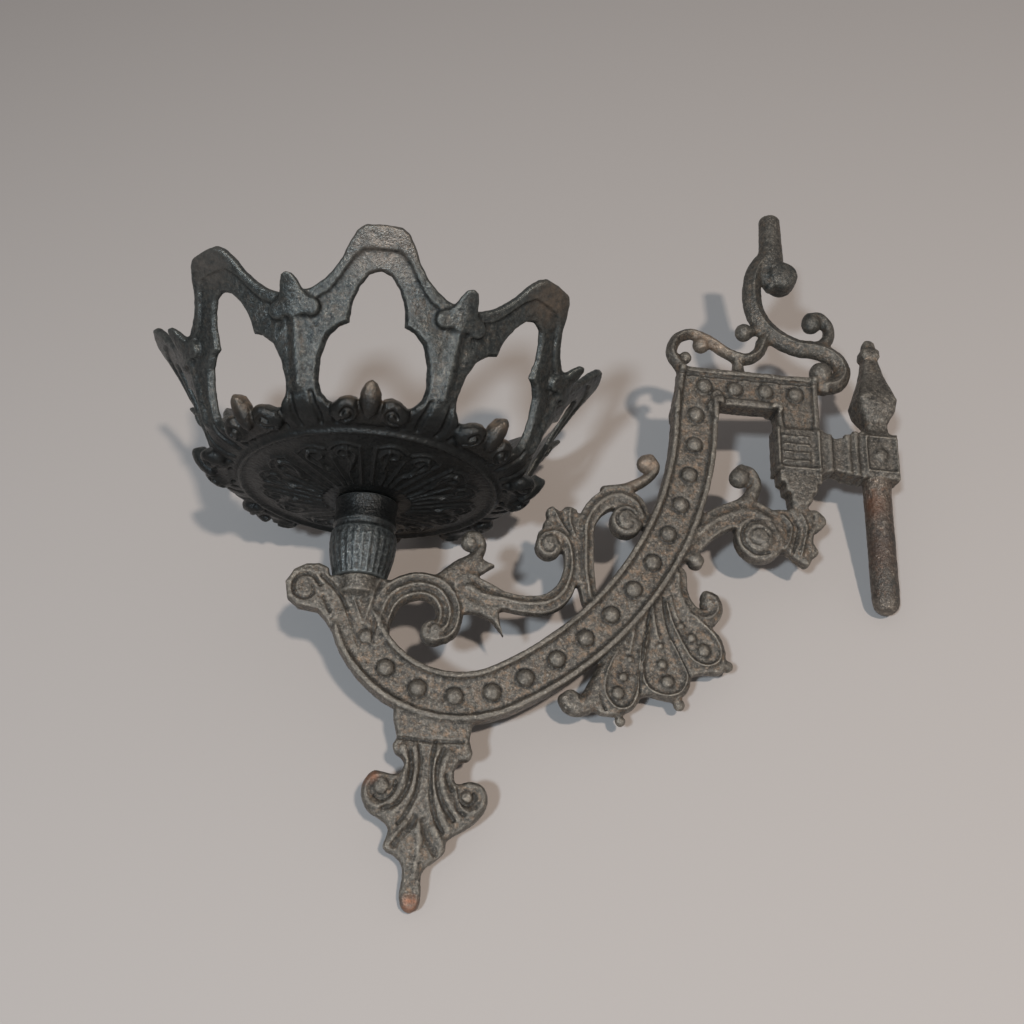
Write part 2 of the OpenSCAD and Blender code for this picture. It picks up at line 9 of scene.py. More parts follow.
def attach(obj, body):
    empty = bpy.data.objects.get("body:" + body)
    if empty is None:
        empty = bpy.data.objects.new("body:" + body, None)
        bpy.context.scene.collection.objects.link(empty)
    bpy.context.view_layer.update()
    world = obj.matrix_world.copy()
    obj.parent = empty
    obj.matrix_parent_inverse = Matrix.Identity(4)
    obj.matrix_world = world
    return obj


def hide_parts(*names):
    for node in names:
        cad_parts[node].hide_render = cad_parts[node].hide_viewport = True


# A cast-iron swing-arm sconce: a scrolled arm on a hinge pin, a reeded pedestal and a pierced cup.

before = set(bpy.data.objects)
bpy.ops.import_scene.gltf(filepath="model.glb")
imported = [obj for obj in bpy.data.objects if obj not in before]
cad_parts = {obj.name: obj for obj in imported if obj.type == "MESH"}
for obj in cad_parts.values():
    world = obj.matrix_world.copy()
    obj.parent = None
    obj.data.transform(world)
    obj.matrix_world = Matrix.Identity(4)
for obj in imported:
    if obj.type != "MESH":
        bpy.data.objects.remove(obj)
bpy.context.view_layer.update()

# Lengths below are millimetres in the part's frame, and meshes are made in metres.
MM = 0.001
# distance between the samples of a casting's field
PITCH = 0.4


# ---- field tools ----

def soft_max(a, b, k):
    """The larger of two depths, with a fillet about k wide where they meet."""
    h = np.maximum(k - np.abs(a - b), 0) / k
    return np.maximum(a, b) + h * h * k / 4


def soft_min(a, b, k):
    """The smaller of two depths, with a round edge about k wide where they meet."""
    return -soft_max(-a, -b, k)


def curve(points, closed=False, step=1.0):
    """Catmull-Rom curve through the points, sampled about every step millimetres."""
    p = np.array(points, float)
    n = len(p)
    rows = []
    for i in range(n if closed else n - 1):
        pick = [(i + j) % n if closed else min(max(i + j, 0), n - 1) for j in (-1, 0, 1, 2)]
        a, b, c, d = (p[j] for j in pick)
        count = max(2, int(np.linalg.norm((c - b)[:2]) / step))
        for t in np.arange(count) / count:
            rows.append(0.5 * (2 * b + (c - a) * t + (2 * a - 5 * b + 4 * c - d) * t * t
                               + (3 * b - a - 3 * c + d) * t ** 3))
    if not closed:
        rows.append(p[-1])
    return np.array(rows)


def course_gap(x, z, course):
    """Depth inside a ribbon of (x, z, half width), and the place across it from -1 to 1."""
    best = np.full(x.shape, -99.0)
    across = np.zeros(x.shape)
    for a, b in zip(course[:-1], course[1:]):
        dx, dz = b[0] - a[0], b[1] - a[1]
        size = dx * dx + dz * dz + 1e-9
        t = np.clip(((x - a[0]) * dx + (z - a[1]) * dz) / size, 0, 1)
        px, pz = x - a[0] - t * dx, z - a[1] - t * dz
        away = np.hypot(px, pz)
        half = a[2] + t * (b[2] - a[2])
        nearer = half - away > best
        best = np.where(nearer, half - away, best)
        across = np.where(nearer, np.sign(dx * pz - dz * px) * away / half, across)
    return best, across


def outline_gap(x, z, points):
    """Depth inside a closed outline."""
    near = np.full(x.shape, 1e9)
    inside = np.zeros(x.shape, bool)
    for a, b in zip(points, np.roll(points, -1, axis=0)):
        dx, dz = b[0] - a[0], b[1] - a[1]
        t = np.clip(((x - a[0]) * dx + (z - a[1]) * dz) / (dx * dx + dz * dz + 1e-12), 0, 1)
        near = np.minimum(near, np.hypot(x - a[0] - t * dx, z - a[1] - t * dz))
        if dz:
            inside ^= ((a[1] > z) != (b[1] > z)) & (x < a[0] + (z - a[1]) * dx / dz)
    return np.where(inside, near, -near)


def hump(gap, half):
    """Rounded cross-section of a drawn ridge: 0 at its edge and 1 along its middle."""
    t = np.clip(gap / half, 0, 1)
    return t * t * (3 - 2 * t)


def waves(shape, cell, seed):
    """Smooth random values from -1 to 1 on a grid, about one wave every cell samples."""
    rng = np.random.default_rng(seed)
    out = rng.uniform(-1, 1, [int(n / cell) + 4 for n in shape])
    for axis, n in enumerate(shape):
        at = np.arange(n) / cell + 0.37
        i = at.astype(int)
        t = at - i
        t = (t * t * (3 - 2 * t)).reshape([-1 if a == axis else 1 for a in range(len(shape))])
        out = np.take(out, i, axis) * (1 - t) + np.take(out, i + 1, axis) * t
    return out


def surface_net(field, wrap=False):
    """Vertices, in samples, and quads of the surface where the field passes 0. With wrap, the first
    axis is a ring."""
    if wrap:
        field = np.concatenate([field, field[:2]])
    inside = field > 0
    cells = tuple(n - 1 for n in field.shape)
    corners = list(product((0, 1), repeat=3))

    def shifted(array, c):
        return array[c[0]:c[0] + cells[0], c[1]:c[1] + cells[1], c[2]:c[2] + cells[2]]

    total = sum(shifted(inside, c).astype(np.int8) for c in corners)
    active = (total > 0) & (total < 8)
    if wrap:
        active[-1] = False
    place = np.argwhere(active)
    index = np.full(cells, -1, np.int64)
    index[active] = np.arange(len(place))
    if wrap:
        index[-1] = index[0]
    value = {c: shifted(field, c)[active].astype(float) for c in corners}
    spot, hits = np.zeros((len(place), 3)), np.zeros((len(place), 1))
    for a in corners:
        for axis in range(3):
            if a[axis]:
                continue
            b = tuple(1 if i == axis else a[i] for i in range(3))
            cross = (value[a] > 0) != (value[b] > 0)
            t = value[a] / np.where(cross, value[a] - value[b], 1)
            at = np.tile(np.array(a, float), (len(place), 1))
            at[:, axis] += t
            spot += at * cross[:, None]
            hits += cross[:, None]
    vertices = place + spot / hits
    quads = []
    for axis in range(3):
        lead = [slice(1, -1)] * 3
        lead[axis] = slice(0, -1)
        ahead = list(lead)
        ahead[axis] = slice(1, None)
        if wrap and axis == 0:
            # the last ring of samples repeats the first
            lead[0], ahead[0] = slice(0, -2), slice(1, -1)
        a, b = inside[tuple(lead)], inside[tuple(ahead)]
        start = np.array([0 if i == axis else 1 for i in range(3)])
        u, v = [i for i in range(3) if i != axis]
        for grow, sign in ((a & ~b, 1), (~a & b, -1)):
            at = np.argwhere(grow) + start
            ring = []
            for du, dv in ((-1, -1), (0, -1), (0, 0), (-1, 0)):
                q = at.copy()
                q[:, u] += du
                q[:, v] += dv
                ring.append(index[q[:, 0], q[:, 1], q[:, 2]])
            ring = np.stack(ring, 1)
            if (sign > 0) == (axis == 1):
                ring = ring[:, ::-1]
            quads.append(ring)
    return vertices, np.concatenate(quads)


def relax(vertices, quads, rounds, amount=0.5):
    """Laplacian smoothing, kept to a fraction so that shapes don't shrink."""
    a, b = quads.ravel(), np.roll(quads, -1, axis=1).ravel()
    count = np.bincount(a, minlength=len(vertices)) + np.bincount(b, minlength=len(vertices))
    out = vertices
    for _ in range(rounds):
        mean = np.stack([np.bincount(a, out[b, i], len(out)) + np.bincount(b, out[a, i], len(out))
                         for i in range(3)], 1) / count[:, None]
        out = out + amount * (mean - out)
    return out


def pits(places, cell, seed):
    """Smooth random values from 0 to 1 at the places, about one wave every cell millimetres."""
    at = (places - places.min(0)) / cell
    i = at.astype(int)
    t = at - i
    t = t * t * (3 - 2 * t)
    lattice = np.random.default_rng(seed).uniform(0, 1, i.max(0) + 2)
    return sum(np.prod(np.where(corner, t, 1 - t), axis=1) * lattice[tuple((i + corner).T)]
               for corner in product((0, 1), repeat=3))


def new_object(name, data):
    """A new object in the scene."""
    made = bpy.data.objects.new(name, data)
    bpy.context.scene.collection.objects.link(made)
    return made


def add_mesh(name, vertices, faces, material, body, replaced, slot, grain=0.3):
    """Makes a piece from millimetres. Its skin is pitted inwards by up to grain, as sand-cast iron
    is, and how deep each vertex lies in a hollow is kept as an attribute."""
    a, b, c = (vertices[faces[:, i]] for i in range(3))
    if (a * np.cross(b, c)).sum() < 0:
        faces = faces[:, ::-1]
    mesh = bpy.data.meshes.new(name)
    mesh.from_pydata((vertices * MM).tolist(), [], faces.tolist())
    mesh.update()
    normals = np.zeros(len(vertices) * 3)
    mesh.vertices.foreach_get("normal", normals)
    normals = normals.reshape(-1, 3)
    # a coarser mesh needs fewer rounds to be smoothed over the same distance
    rounds = max(4, int(10 * (0.4 / PITCH) ** 2))
    hollow = ((relax(vertices, faces, rounds) - vertices) * normals).sum(1)
    depth = grain * (0.6 * pits(vertices, 1.0, 1) + 0.4 * pits(vertices, 2.3, 2))
    mesh.vertices.foreach_set("co", ((vertices - normals * depth[:, None]) * MM).ravel())
    mesh.update()
    layer = mesh.attributes.new("hollow", "FLOAT", "POINT")
    layer.data.foreach_set("value", hollow.astype(np.float32))
    mesh.polygons.foreach_set("use_smooth", [True] * len(mesh.polygons))
    mesh.materials.append(material)
    piece = new_object(name, mesh)
    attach(piece, body)
    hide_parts(*replaced)


class Casting:
    """A flat casting, the same on both faces: a field over (x, z), from the corner low to the corner
    high, and over the half of y that is depth thick. The field is above 0 inside the iron."""

    def __init__(self, low, high, depth, pitch):
        self.pitch = pitch
        self.x = np.arange(low[0], high[0], pitch)
        self.z = np.arange(low[1], high[1], pitch)
        self.y = (np.arange(int(depth / pitch) + 1) + 0.5) * pitch
        self.field = np.full((len(self.x), len(self.z), len(self.y)), -3.0, np.float32)
        # a sand casting's faces are never quite even
        self.rough = (waves((len(self.x), len(self.z)), 7 / pitch, 3) * 0.14
                      + waves((len(self.x), len(self.z)), 2.6 / pitch, 4) * 0.07)
        self.clear()

    def clear(self):
        """Forgets the ridges and grooves drawn so far."""
        self.relief = self.rough.copy()

    def window(self, points, margin=3):
        """Slices of the field round the points, and x and z of the samples in them."""
        p = np.array(points, float)[:, :2]
        w = margin + (np.array(points, float)[:, 2].max() if len(points[0]) > 2 else 0)
        i = np.searchsorted(self.x, [p[:, 0].min() - w, p[:, 0].max() + w])
        j = np.searchsorted(self.z, [p[:, 1].min() - w, p[:, 1].max() + w])
        x, z = np.meshgrid(self.x[i[0]:i[1]], self.z[j[0]:j[1]], indexing="ij")
        return (slice(*i), slice(*j)), x, z

    def stroke(self, course, amount, slope=None):
        """Draws a ridge, or a groove where amount is below 0, for the shapes added next. It rises
        from its edge over slope, or over its whole half width."""
        course = curve(course)
        at, x, z = self.window(course)
        gap = course_gap(x, z, course)[0]
        half = np.median(course[:, 2])
        self.relief[at] += amount * hump(gap, slope or half)

    def lines(self, half, amount, *courses):
        """Draws several ridges or grooves of one half width."""
        for course in courses:
            self.stroke([(*place, half) for place in course], amount)

    def dots(self, places, r, amount):
        """Draws a round bead at each place, or a hollow where amount is below 0."""
        for p in places:
            at, x, z = self.window([p], r + 1)
            away = np.hypot(x - p[0], z - p[1]) / r
            self.relief[at] += amount * np.sqrt(np.clip(1 - away * away, 0, 1))

    def add(self, at, gap, half, edge, fillet):
        """Adds a slab as deep as gap inside its outline and half thick on each side of the middle."""
        shape = soft_min(gap[..., None], (half + self.relief[at])[..., None] - self.y, edge)
        self.field[at] = soft_max(self.field[at], shape, fillet)

    def scroll(self, course, half, ribs, rib_height, crown=0.25, power=2):
        """A ribbon with ribs running along it: ribs is how many waves lie across its half width.
        It is half thick on each side of the middle, and thinner at its edges by the share crown.
        A power of 1 makes its section a roof, and a power of 2 a round back."""
        course = curve(course)
        at, x, z = self.window(course)
        gap, across = course_gap(x, z, course)
        thick = (half - crown * half * np.abs(across) ** power
                 + rib_height * np.cos(2 * math.pi * ribs * across))
        self.add(at, gap, thick, 1.6, 1.2)

    def plate(self, points, half=2.6, edge=1.4, fillet=1.2, curved=False):
        """A flat leaf in a closed outline, straight from point to point or curved through them."""
        points = curve(points, True) if curved else np.array(points, float)
        at, x, z = self.window(points)
        gap = outline_gap(x, z, points)
        self.add(at, gap, half, edge, fillet)

    def boss(self, x0, z0, r, half, dome, edge=1.4):
        """A round button whose face rises by dome towards its middle."""
        at, x, z = self.window([(x0, z0)], r + 2)
        away = np.hypot(x - x0, z - z0)
        self.add(at, r - away, half + dome * (1 - (away / r) ** 2), edge, 1.0)

    def solid(self, low, high, shape, fillet=1.2):
        """Adds any shape: a function of x, y and z that is positive inside."""
        at, x, z = self.window([low, high], 2)
        self.field[at] = soft_max(self.field[at],
                                  shape(x[..., None], self.y, z[..., None]), fillet)

    def ball(self, x0, z0, r):
        """A ball in the middle plane."""
        self.solid((x0 - r, z0 - r), (x0 + r, z0 + r),
                   lambda x, y, z: r - np.sqrt((x - x0) ** 2 + y * y + (z - z0) ** 2))

    def mesh(self):
        """Vertices in millimetres and quads of the whole casting, its lower half mirrored."""
        field = np.concatenate([self.field[:, :, ::-1], self.field], axis=2)
        # close the surface at the grid's edges
        field[[0, -1]] = -1
        field[:, [0, -1]] = -1
        field[:, :, [0, -1]] = np.minimum(field[:, :, [0, -1]], -0.01)
        v, q = surface_net(field)
        place = np.stack([self.x[0] + v[:, 0] * self.pitch,
                          (v[:, 2] - len(self.y) + 0.5) * self.pitch,
                          self.z[0] + v[:, 1] * self.pitch], 1)
        return relax(place, q, 1, 0.35), q


# ---- materials ----

class Shading:
    """The nodes of one material, with a short call for each kind of node that the iron needs."""

    def __init__(self, name):
        self.material = bpy.data.materials.new(name)
        self.material.use_nodes = True
        self.nodes, self.links = self.material.node_tree.nodes, self.material.node_tree.links
        self.nodes.clear()
        out = self.nodes.new("ShaderNodeOutputMaterial")
        self.shader = self.nodes.new("ShaderNodeBsdfPrincipled")
        self.links.new(self.shader.outputs[0], out.inputs[0])
        coordinates = self.nodes.new("ShaderNodeTexCoord")
        self.where, self.facing = coordinates.outputs["Object"], coordinates.outputs["Normal"]

    def fill(self, node, inputs):
        """Sets the named inputs of a node to values or to the outputs of other nodes."""
        for name, value in inputs.items():
            if isinstance(value, bpy.types.NodeSocket):
                self.links.new(value, node.inputs[name])
            else:
                node.inputs[name].default_value = value

    def hollow(self):
        """How deep the place lies in a hollow, in millimetres, and below 0 on an edge."""
        node = self.nodes.new("ShaderNodeAttribute")
        node.attribute_name = "hollow"
        return node.outputs["Fac"]

    def noise(self, scale, detail=4.0, rough=0.55):
        node = self.nodes.new("ShaderNodeTexNoise")
        self.fill(node, {"Vector": self.where, "Scale": scale, "Detail": detail, "Roughness": rough})
        return node.outputs["Fac"]

    def ramp(self, source, low, high, to_low=0.0, to_high=1.0):
        """Runs from to_low to to_high while the source runs from low to high, and no further."""
        node = self.nodes.new("ShaderNodeMapRange")
        self.fill(node, {"Value": source, "From Min": low, "From Max": high,
                         "To Min": to_low, "To Max": to_high})
        return node.outputs[0]

    def calculate(self, operation, a, b=0.0):
        node = self.nodes.new("ShaderNodeMath")
        node.operation = operation
        self.fill(node, {0: a, 1: b})
        return node.outputs[0]

    def mix(self, share, a, b):
        """Colour a where the share is 0 and colour b where it is 1."""
        node = self.nodes.new("ShaderNodeMix")
        node.data_type = "RGBA"
        a, b = ((*colour, 1) if isinstance(colour, tuple) else colour for colour in (a, b))
        # inputs 6 and 7 and output 2 are the ones for colours
        self.fill(node, {"Factor": share, 6: a, 7: b})
        return node.outputs[2]

    def parts(self, vector):
        """The X, Y and Z of a vector, by name."""
        node = self.nodes.new("ShaderNodeSeparateXYZ")
        self.fill(node, {0: vector})
        return node.outputs

    def near(self, place, radius):
        """1 near a place in millimetres, falling to 0 at the radius."""
        node = self.nodes.new("ShaderNodeVectorMath")
        node.operation = "DISTANCE"
        self.fill(node, {0: self.where, 1: [c * MM for c in place]})
        return self.ramp(node.outputs["Value"], radius * MM, radius * 0.3 * MM)


def iron(name, deep, base, worn_and_glint, dust, dust_amount, rough, bump, shine, wear_and_glints=1.0, spots=(),
         between=None, painted_shade_heights=None):
    """Old cast iron with sand-cast grain, dust in its hollows, painted shade in its pits and deep hollows,
    and rubbed edges with painted highlights and glints.

    deep, base, worn, dust: colours of the dark patches, the rest, the rubbed edges with their painted
    highlights and glints, and the dust
    wear, dust_amount: how much there is of the rubbed edges with their painted highlights and glints, and of
    the dust
    rough: roughness of the grain's tops and of its pits
    spots: places in millimetres with their radius and colour, of rust, dust, dirt and darker patches
    between: distances from the middle plane at which little dust lies and at which all of it does
    sooty: heights at which the painted shade on the faces that don't look up is full and at which it ends
    """
    skin = Shading(name)
    noise, ramp, calculate, mix = skin.noise, skin.ramp, skin.calculate, skin.mix
    black = tuple(0.2 * c for c in deep)
    hollow = skin.hollow()
    grain = noise(800, 5, 0.75)

    # patches, pits with painted shade, and rubbed edges with painted highlights and glints
    colour = mix(ramp(noise(90, 5, 0.6), 0.35, 0.65), deep, base)
    # painted shade in the grain's pits: where the grain is low, the colour goes towards black
    colour = mix(ramp(grain, 0.5, 0.36, 0, 0.75), colour, black)
    # painted highlights and glints, partly real rubbing: the rubbed colour on convex edges and on the grain's
    # tops
    edges = calculate("ADD", ramp(hollow, -0.03, -0.16, 0, 0.6 * wear_and_glints),
                      ramp(grain, 0.52, 0.68, 0, 0.8 * wear_and_glints))
    colour = mix(edges, colour, worn_and_glint)

    # dust on flat ground and in shallow hollows, and painted shade in the deep ones
    position = skin.parts(skin.where)
    flat = calculate("MULTIPLY", ramp(hollow, -0.06, 0.0), ramp(hollow, 0.14, 0.05))
    if between:
        # the dust lies on the sunk floors between the two faces, not on the raised lines
        little, full = between
        off_middle = calculate("ABSOLUTE", position["Y"])
        flat = calculate("MULTIPLY", flat, ramp(off_middle, little * MM, full * MM, 0.15, 1))
    settled = calculate("MULTIPLY", calculate("MULTIPLY", flat, dust_amount),
                        ramp(noise(480, 6, 0.8), 0.48, 0.66))
    colour = mix(settled, colour, dust)
    # painted shade: the deeper a hollow, the nearer its colour goes to black
    colour = mix(ramp(hollow, 0.035, 0.17, 0, 0.75), colour, black)
    # painted glints, partly real rubbing: fine specks of the rubbed colour
    colour = mix(ramp(noise(1600, 2, 0.6), 0.57, 0.68, 0, 0.5 * wear_and_glints), colour, worn_and_glint)
    for place, radius, tint in spots:
        patch = calculate("MULTIPLY", skin.near(place, radius), ramp(noise(420, 5, 0.7), 0.3, 0.65))
        colour = mix(patch, colour, tint)
    if painted_shade_heights:
        # painted shade on the faces that don't look up, between the heights given
        full, end = painted_shade_heights
        painted_shade = calculate("MULTIPLY", ramp(position["Z"], full * MM, end * MM, 0.9, 0),
                         ramp(skin.parts(skin.facing)["Z"], 0.5, 0.1))
        colour = mix(painted_shade, colour, black)

    tops, floors = rough
    roughness = calculate("ADD", ramp(grain, 0.3, 0.7, floors, tops), ramp(hollow, 0, 0.15, 0, 0.15))
    relief = calculate("ADD", calculate("MULTIPLY", grain, 0.7),
                       calculate("MULTIPLY", noise(1700, 2, 0.5), 0.3))
    bumps = skin.nodes.new("ShaderNodeBump")
    skin.fill(bumps, {"Height": relief, "Strength": bump, "Distance": 0.0016})
    skin.fill(skin.shader, {"Base Color": colour, "Roughness": roughness, "Normal": bumps.outputs[0],
                            "Metallic": 0.6, "Specular IOR Level": shine})
    return skin.material


RUST = (0.34, 0.13, 0.06)
PALE_DUST = (0.30, 0.22, 0.16)
CREST_GREY = (0.030, 0.034, 0.033)
FLEUR_DUST = (0.26, 0.19, 0.135)

ARM = iron("arm_cast_iron", deep=(0.066, 0.060, 0.052), base=(0.112, 0.102, 0.088),
           worn_and_glint=(0.30, 0.265, 0.22), wear_and_glints=0.7, dust=(0.24, 0.160, 0.102), dust_amount=0.85,
           between=(3.7, 2.7), rough=(0.36, 0.58), bump=0.45, shine=1.0,
           spots=(((-157, -3, -104), 5, RUST), ((-142, -3, -140), 4, RUST),
                  ((-76, -2, 0), 5, PALE_DUST), ((-54, -2, 47), 9, PALE_DUST),
                  ((-82, -2, -5), 6, PALE_DUST), ((-26, 0, 68), 34, CREST_GREY)))
CUP = iron("cup_cast_iron", deep=(0.024, 0.029, 0.030), base=(0.045, 0.051, 0.051),
           worn_and_glint=(0.15, 0.15, 0.135), wear_and_glints=0.5, dust=(0.21, 0.155, 0.11), dust_amount=0.25,
           rough=(0.26, 0.44), bump=0.35, shine=0.8, painted_shade_heights=(-14, -8),
           spots=(((-164, -50, -9), 13, FLEUR_DUST), ((-199, -35, -9), 12, FLEUR_DUST),
                  ((-129, -35, -9), 12, FLEUR_DUST), ((-164, -69, 26), 14, (0.155, 0.132, 0.112)),
                  ((-213, -49, 26), 10, (0.11, 0.10, 0.09)),
                  ((-115, -49, 26), 10, (0.14, 0.11, 0.085))))
BELL = iron("pedestal_iron", deep=(0.022, 0.027, 0.029), base=(0.046, 0.053, 0.055),
            worn_and_glint=(0.15, 0.165, 0.165), dust=(0.15, 0.11, 0.075), dust_amount=0.2,
            rough=(0.26, 0.42), bump=0.4, shine=0.8, painted_shade_heights=(-30, -33))
PIN = iron("pin_iron", deep=(0.064, 0.052, 0.042), base=(0.135, 0.112, 0.093),
           worn_and_glint=(0.32, 0.27, 0.22), dust=(0.30, 0.155, 0.09), dust_amount=0.8,
           rough=(0.38, 0.60), bump=0.5, shine=1.0,
           spots=(((-4, -4, -10), 7, (0.17, 0.075, 0.04)), ((-2, -4, -24), 8, (0.12, 0.07, 0.048)),
                  # two dark patches make the pin darker on its right side and near its end
                  ((4, -3, -20), 16, (0.045, 0.04, 0.037)), ((0, -4, -37), 9, (0.05, 0.047, 0.043))))


# ---- the arm ----

# the cup's axis is REACH from the pin's; the beaded band follows two arcs that meet at JOIN degrees
REACH = 164
SWEEP_C, SWEEP_R = np.array([-170.6, 19.4]), 110
BOWL_C, BOWL_R = np.array([-133.98, -49.47]), 32
JOIN = -62
BAND_HALF_WIDTH = 7.5
BAND_HALF_THICKNESS = 2.6


def on_arc(c, r, a):
    """The place at a degrees on a circle."""
    a = math.radians(a)
    return (c[0] + r * math.cos(a), c[1] + r * math.sin(a))


def arc(c, r, a, b, w):
    """A course of half width w along a circle from a to b degrees."""
    return [(*on_arc(c, r, t), w) for t in np.linspace(a, b, 40)]


def band_and_frame(arm):
    """The beaded band between its two rims, and the square frame that it ends in."""
    rise, slope = 1.4, 1.2
    for side in (-1, 1):
        edge = BAND_HALF_WIDTH - 0.2
        arm.stroke(arc(BOWL_C, BOWL_R + side * edge, -160, JOIN, 2.6)
                   + arc(SWEEP_C, SWEEP_R + side * edge, JOIN, 3, 2.6), rise, slope)
    # beads at even steps along the sweep, the bowl and the frame, each in a shallow moat
    beads = [on_arc(SWEEP_C, SWEEP_R, -0.85 - 5.76 * k) for k in range(11)]
    beads += [on_arc(BOWL_C, BOWL_R, -69.3 - 19.8 * k) for k in range(4)]
    beads += [(-57.6 + 10.3 * k, 28.6) for k in range(4)]
    moat_r, bead_r = 3.5, 2.75
    arm.dots(beads, moat_r, -0.4)
    arm.dots(beads, bead_r, 2.4)
    for rim in (((-66.6, 35.4), (-19.2, 35.4)), ((-67.9, 19), (-65.8, 35.4)), ((-19.2, 14), (-19.2, 35.4)),
                ((-53.4, 18), (-53.4, 22.4), (-33.5, 22.4)), ((-33.6, 22.4), (-33.6, 14))):
        arm.stroke([(*place, 2.6) for place in rim], 1.3, 1.0)
    arm.lines(0.5, 0.5, ((-66, 32), (-20, 32)))
    course = curve(arc(BOWL_C, BOWL_R, -153, JOIN, BAND_HALF_WIDTH)
                   + arc(SWEEP_C, SWEEP_R, JOIN, 0, BAND_HALF_WIDTH), step=2)
    outline = np.array([(-68.1, 19.4), (-53.1, 19.4), (-53.1, 22), (-33.5, 22), (-33.5, 14), (-19, 14),
                        (-19, 35.6), (-65.8, 35.6)])
    at, x, z = arm.window([*course[:, :2], *outline], BAND_HALF_WIDTH + 3)
    gap = soft_max(course_gap(x, z, course)[0], outline_gap(x, z, outline), 0.6)
    arm.add(at, gap, BAND_HALF_THICKNESS, 1.2, 0.8)
    arm.clear()


def shield(arm):
    """The stepped shield with its sunk panel of bars."""
    for row in range(4):
        for left in (-31.6, -27.0):
            arm.lines(0.9, 0.9, ((left, 3.6 + 2.9 * row), (left + 3.4, 3.6 + 2.9 * row)))
    arm.lines(1.3, 1.1, ((-33.6, 15), (-33.6, 1)), ((-33.6, 1), (-20.2, 1)), ((-20.2, 1), (-20.2, 15)))
    arm.plate([(-34.6, 15.8), (-34.6, 0.6), (-33.6, 0), (-33.4, -3.4), (-32, -4), (-31.6, -6.8),
               (-30.2, -7.4), (-29.8, -10), (-28.2, -11.8), (-25, -11.8), (-22.8, -10), (-22.4, -7.4),
               (-21, -6.8), (-20.6, -4), (-19.2, -3.4), (-18.8, 0.6), (-18.4, 15.8)], 3.8, 1.2)
    arm.clear()


def hinge_block(arm):
    """The square block over the pin, on its waisted neck."""
    arm.lines(1.1, 0.9, ((-3.6, 2.2), (5.2, 2.2)), ((-3.6, 14.6), (5.2, 14.6)), ((-4.4, 2.2), (-4.4, 14.6)),
              ((6.0, 2.2), (6.0, 14.6)))
    arm.dots([(0.8, 8.4)], 2.2, 1.0)
    arm.plate([(-5.6, 0), (7.2, 0), (7.2, 16.8), (-5.6, 16.8)], 4.3, 1.5)
    arm.clear()
    arm.plate([(-19, 0.3), (-19, 15.6), (-17.4, 15.4), (-14.5, 13.4), (-11, 14.2), (-8.6, 16), (-5, 16.4),
               (-5, 0.2), (-8.6, 0.4), (-11.4, 0.9), (-14.5, 1.7), (-17.4, 0.5)], 3.9, 1.0)
    for left, top, foot in ((-7.6, 16.4, 0.2), (-10.4, 15, 0.6), (-16.4, 14.6, 1)):
        arm.plate([(left - 0.9, foot), (left + 0.9, foot), (left + 0.9, top), (left - 0.9, top)],
                  4.7, 0.9, 0.8)


def leaf_head(arm):
    """The leaf under the pedestal: petals that meet in a point over a bead, and a volute
    on its left."""
    arm.lines(0.9, -1.0, ((-175, -47.5), (-170, -52), (-166.4, -58), (-164, -64), (-161.6, -70)))
    arm.stroke([(-171.5, -46.5, 1.0), (-167, -51, 1.1), (-163.8, -57, 1.0), (-162, -61.5, 0.8)], 0.8)
    arm.stroke([(-157.6, -47.2, 1.0), (-159.2, -52, 1.1), (-160.4, -57, 1.0), (-161.4, -61.5, 0.8)], 0.8)
    arm.stroke([(-166, -47.5, 0.8), (-164, -52, 0.9), (-162.8, -56.5, 0.7)], 0.5)
    arm.stroke([(-157.4, -49, 0.7), (-158.6, -55, 0.8), (-158.8, -62, 0.8), (-157.4, -69, 0.8)], -0.8)
    arm.stroke([(-175.2, -50.5, 0.8), (-177.6, -47.8, 0.8), (-181, -47.6, 0.8), (-183, -50.2, 0.8),
                (-182.4, -53.6, 0.8), (-179.4, -55, 0.7), (-177, -53.4, 0.7), (-177.4, -50.8, 0.6)], -0.9)
    arm.lines(0.7, -0.7, ((-174, -54), (-171.6, -58.6)))
    arm.dots([(-160.2, -65.6)], 3.4, -0.9)
    arm.dots([(-160.2, -65.6)], 2.5, 2.2)
    arm.plate([(-154.4, -66), (-155.4, -56), (-155.4, -47), (-172.6, -47), (-173.2, -44.6), (-176, -43.4),
               (-180, -43.8), (-183.6, -45.8), (-185.7, -50), (-184.8, -54.6), (-181.4, -57.4),
               (-178, -57.8), (-175.4, -58.2), (-173, -60.6), (-170.9, -63.6), (-166, -70)], 3.0, 1.4)
    arm.clear()
    # the round seat, which tapers down into the leaf
    seat_r, seat_z, foot_z = 6.4, -47, -56
    arm.solid((-REACH - seat_r, foot_z), (-REACH + seat_r, seat_z), lambda x, y, z: np.minimum(
        seat_r - np.hypot(x + REACH, y),
        np.minimum(seat_z - z, z - foot_z - np.hypot(x + REACH, y) * 0.6)))


def c_scroll(arm):
    """The scroll that curls in beside the leaf head, and the twig on its back."""
    arm.scroll([(-157.5, -66, 3.2), (-156.6, -58, 4), (-153.8, -51.5, 4.4), (-147, -47.9, 4.5),
                (-140.2, -49.2, 4.4), (-136.6, -54.5, 4.3), (-137.2, -60.5, 4), (-140.3, -62.8, 3.2)],
               3.0, 1.5, 0.5)
    arm.lines(0.6, -0.6, ((-138.6, -60.4), (-140.4, -59.6), (-142.2, -60.8), (-142.4, -63)))
    arm.boss(-141.2, -62.2, 3.7, 3.1, 0.8)
    arm.clear()
    arm.scroll([(-138.5, -46, 3.6), (-134, -41, 3), (-129.6, -37.2, 2.1), (-127.9, -33.3, 1.7),
                (-129.4, -30.3, 1.6), (-132, -30.4, 1.6)], 2.6, 0, 0, 0.4)
    arm.ball(-131.6, -32.4, 3)
    arm.plate([(-129.6, -36.8), (-123.2, -39.4), (-127.4, -42.6), (-130.4, -45.6), (-136, -46)], 2.2)


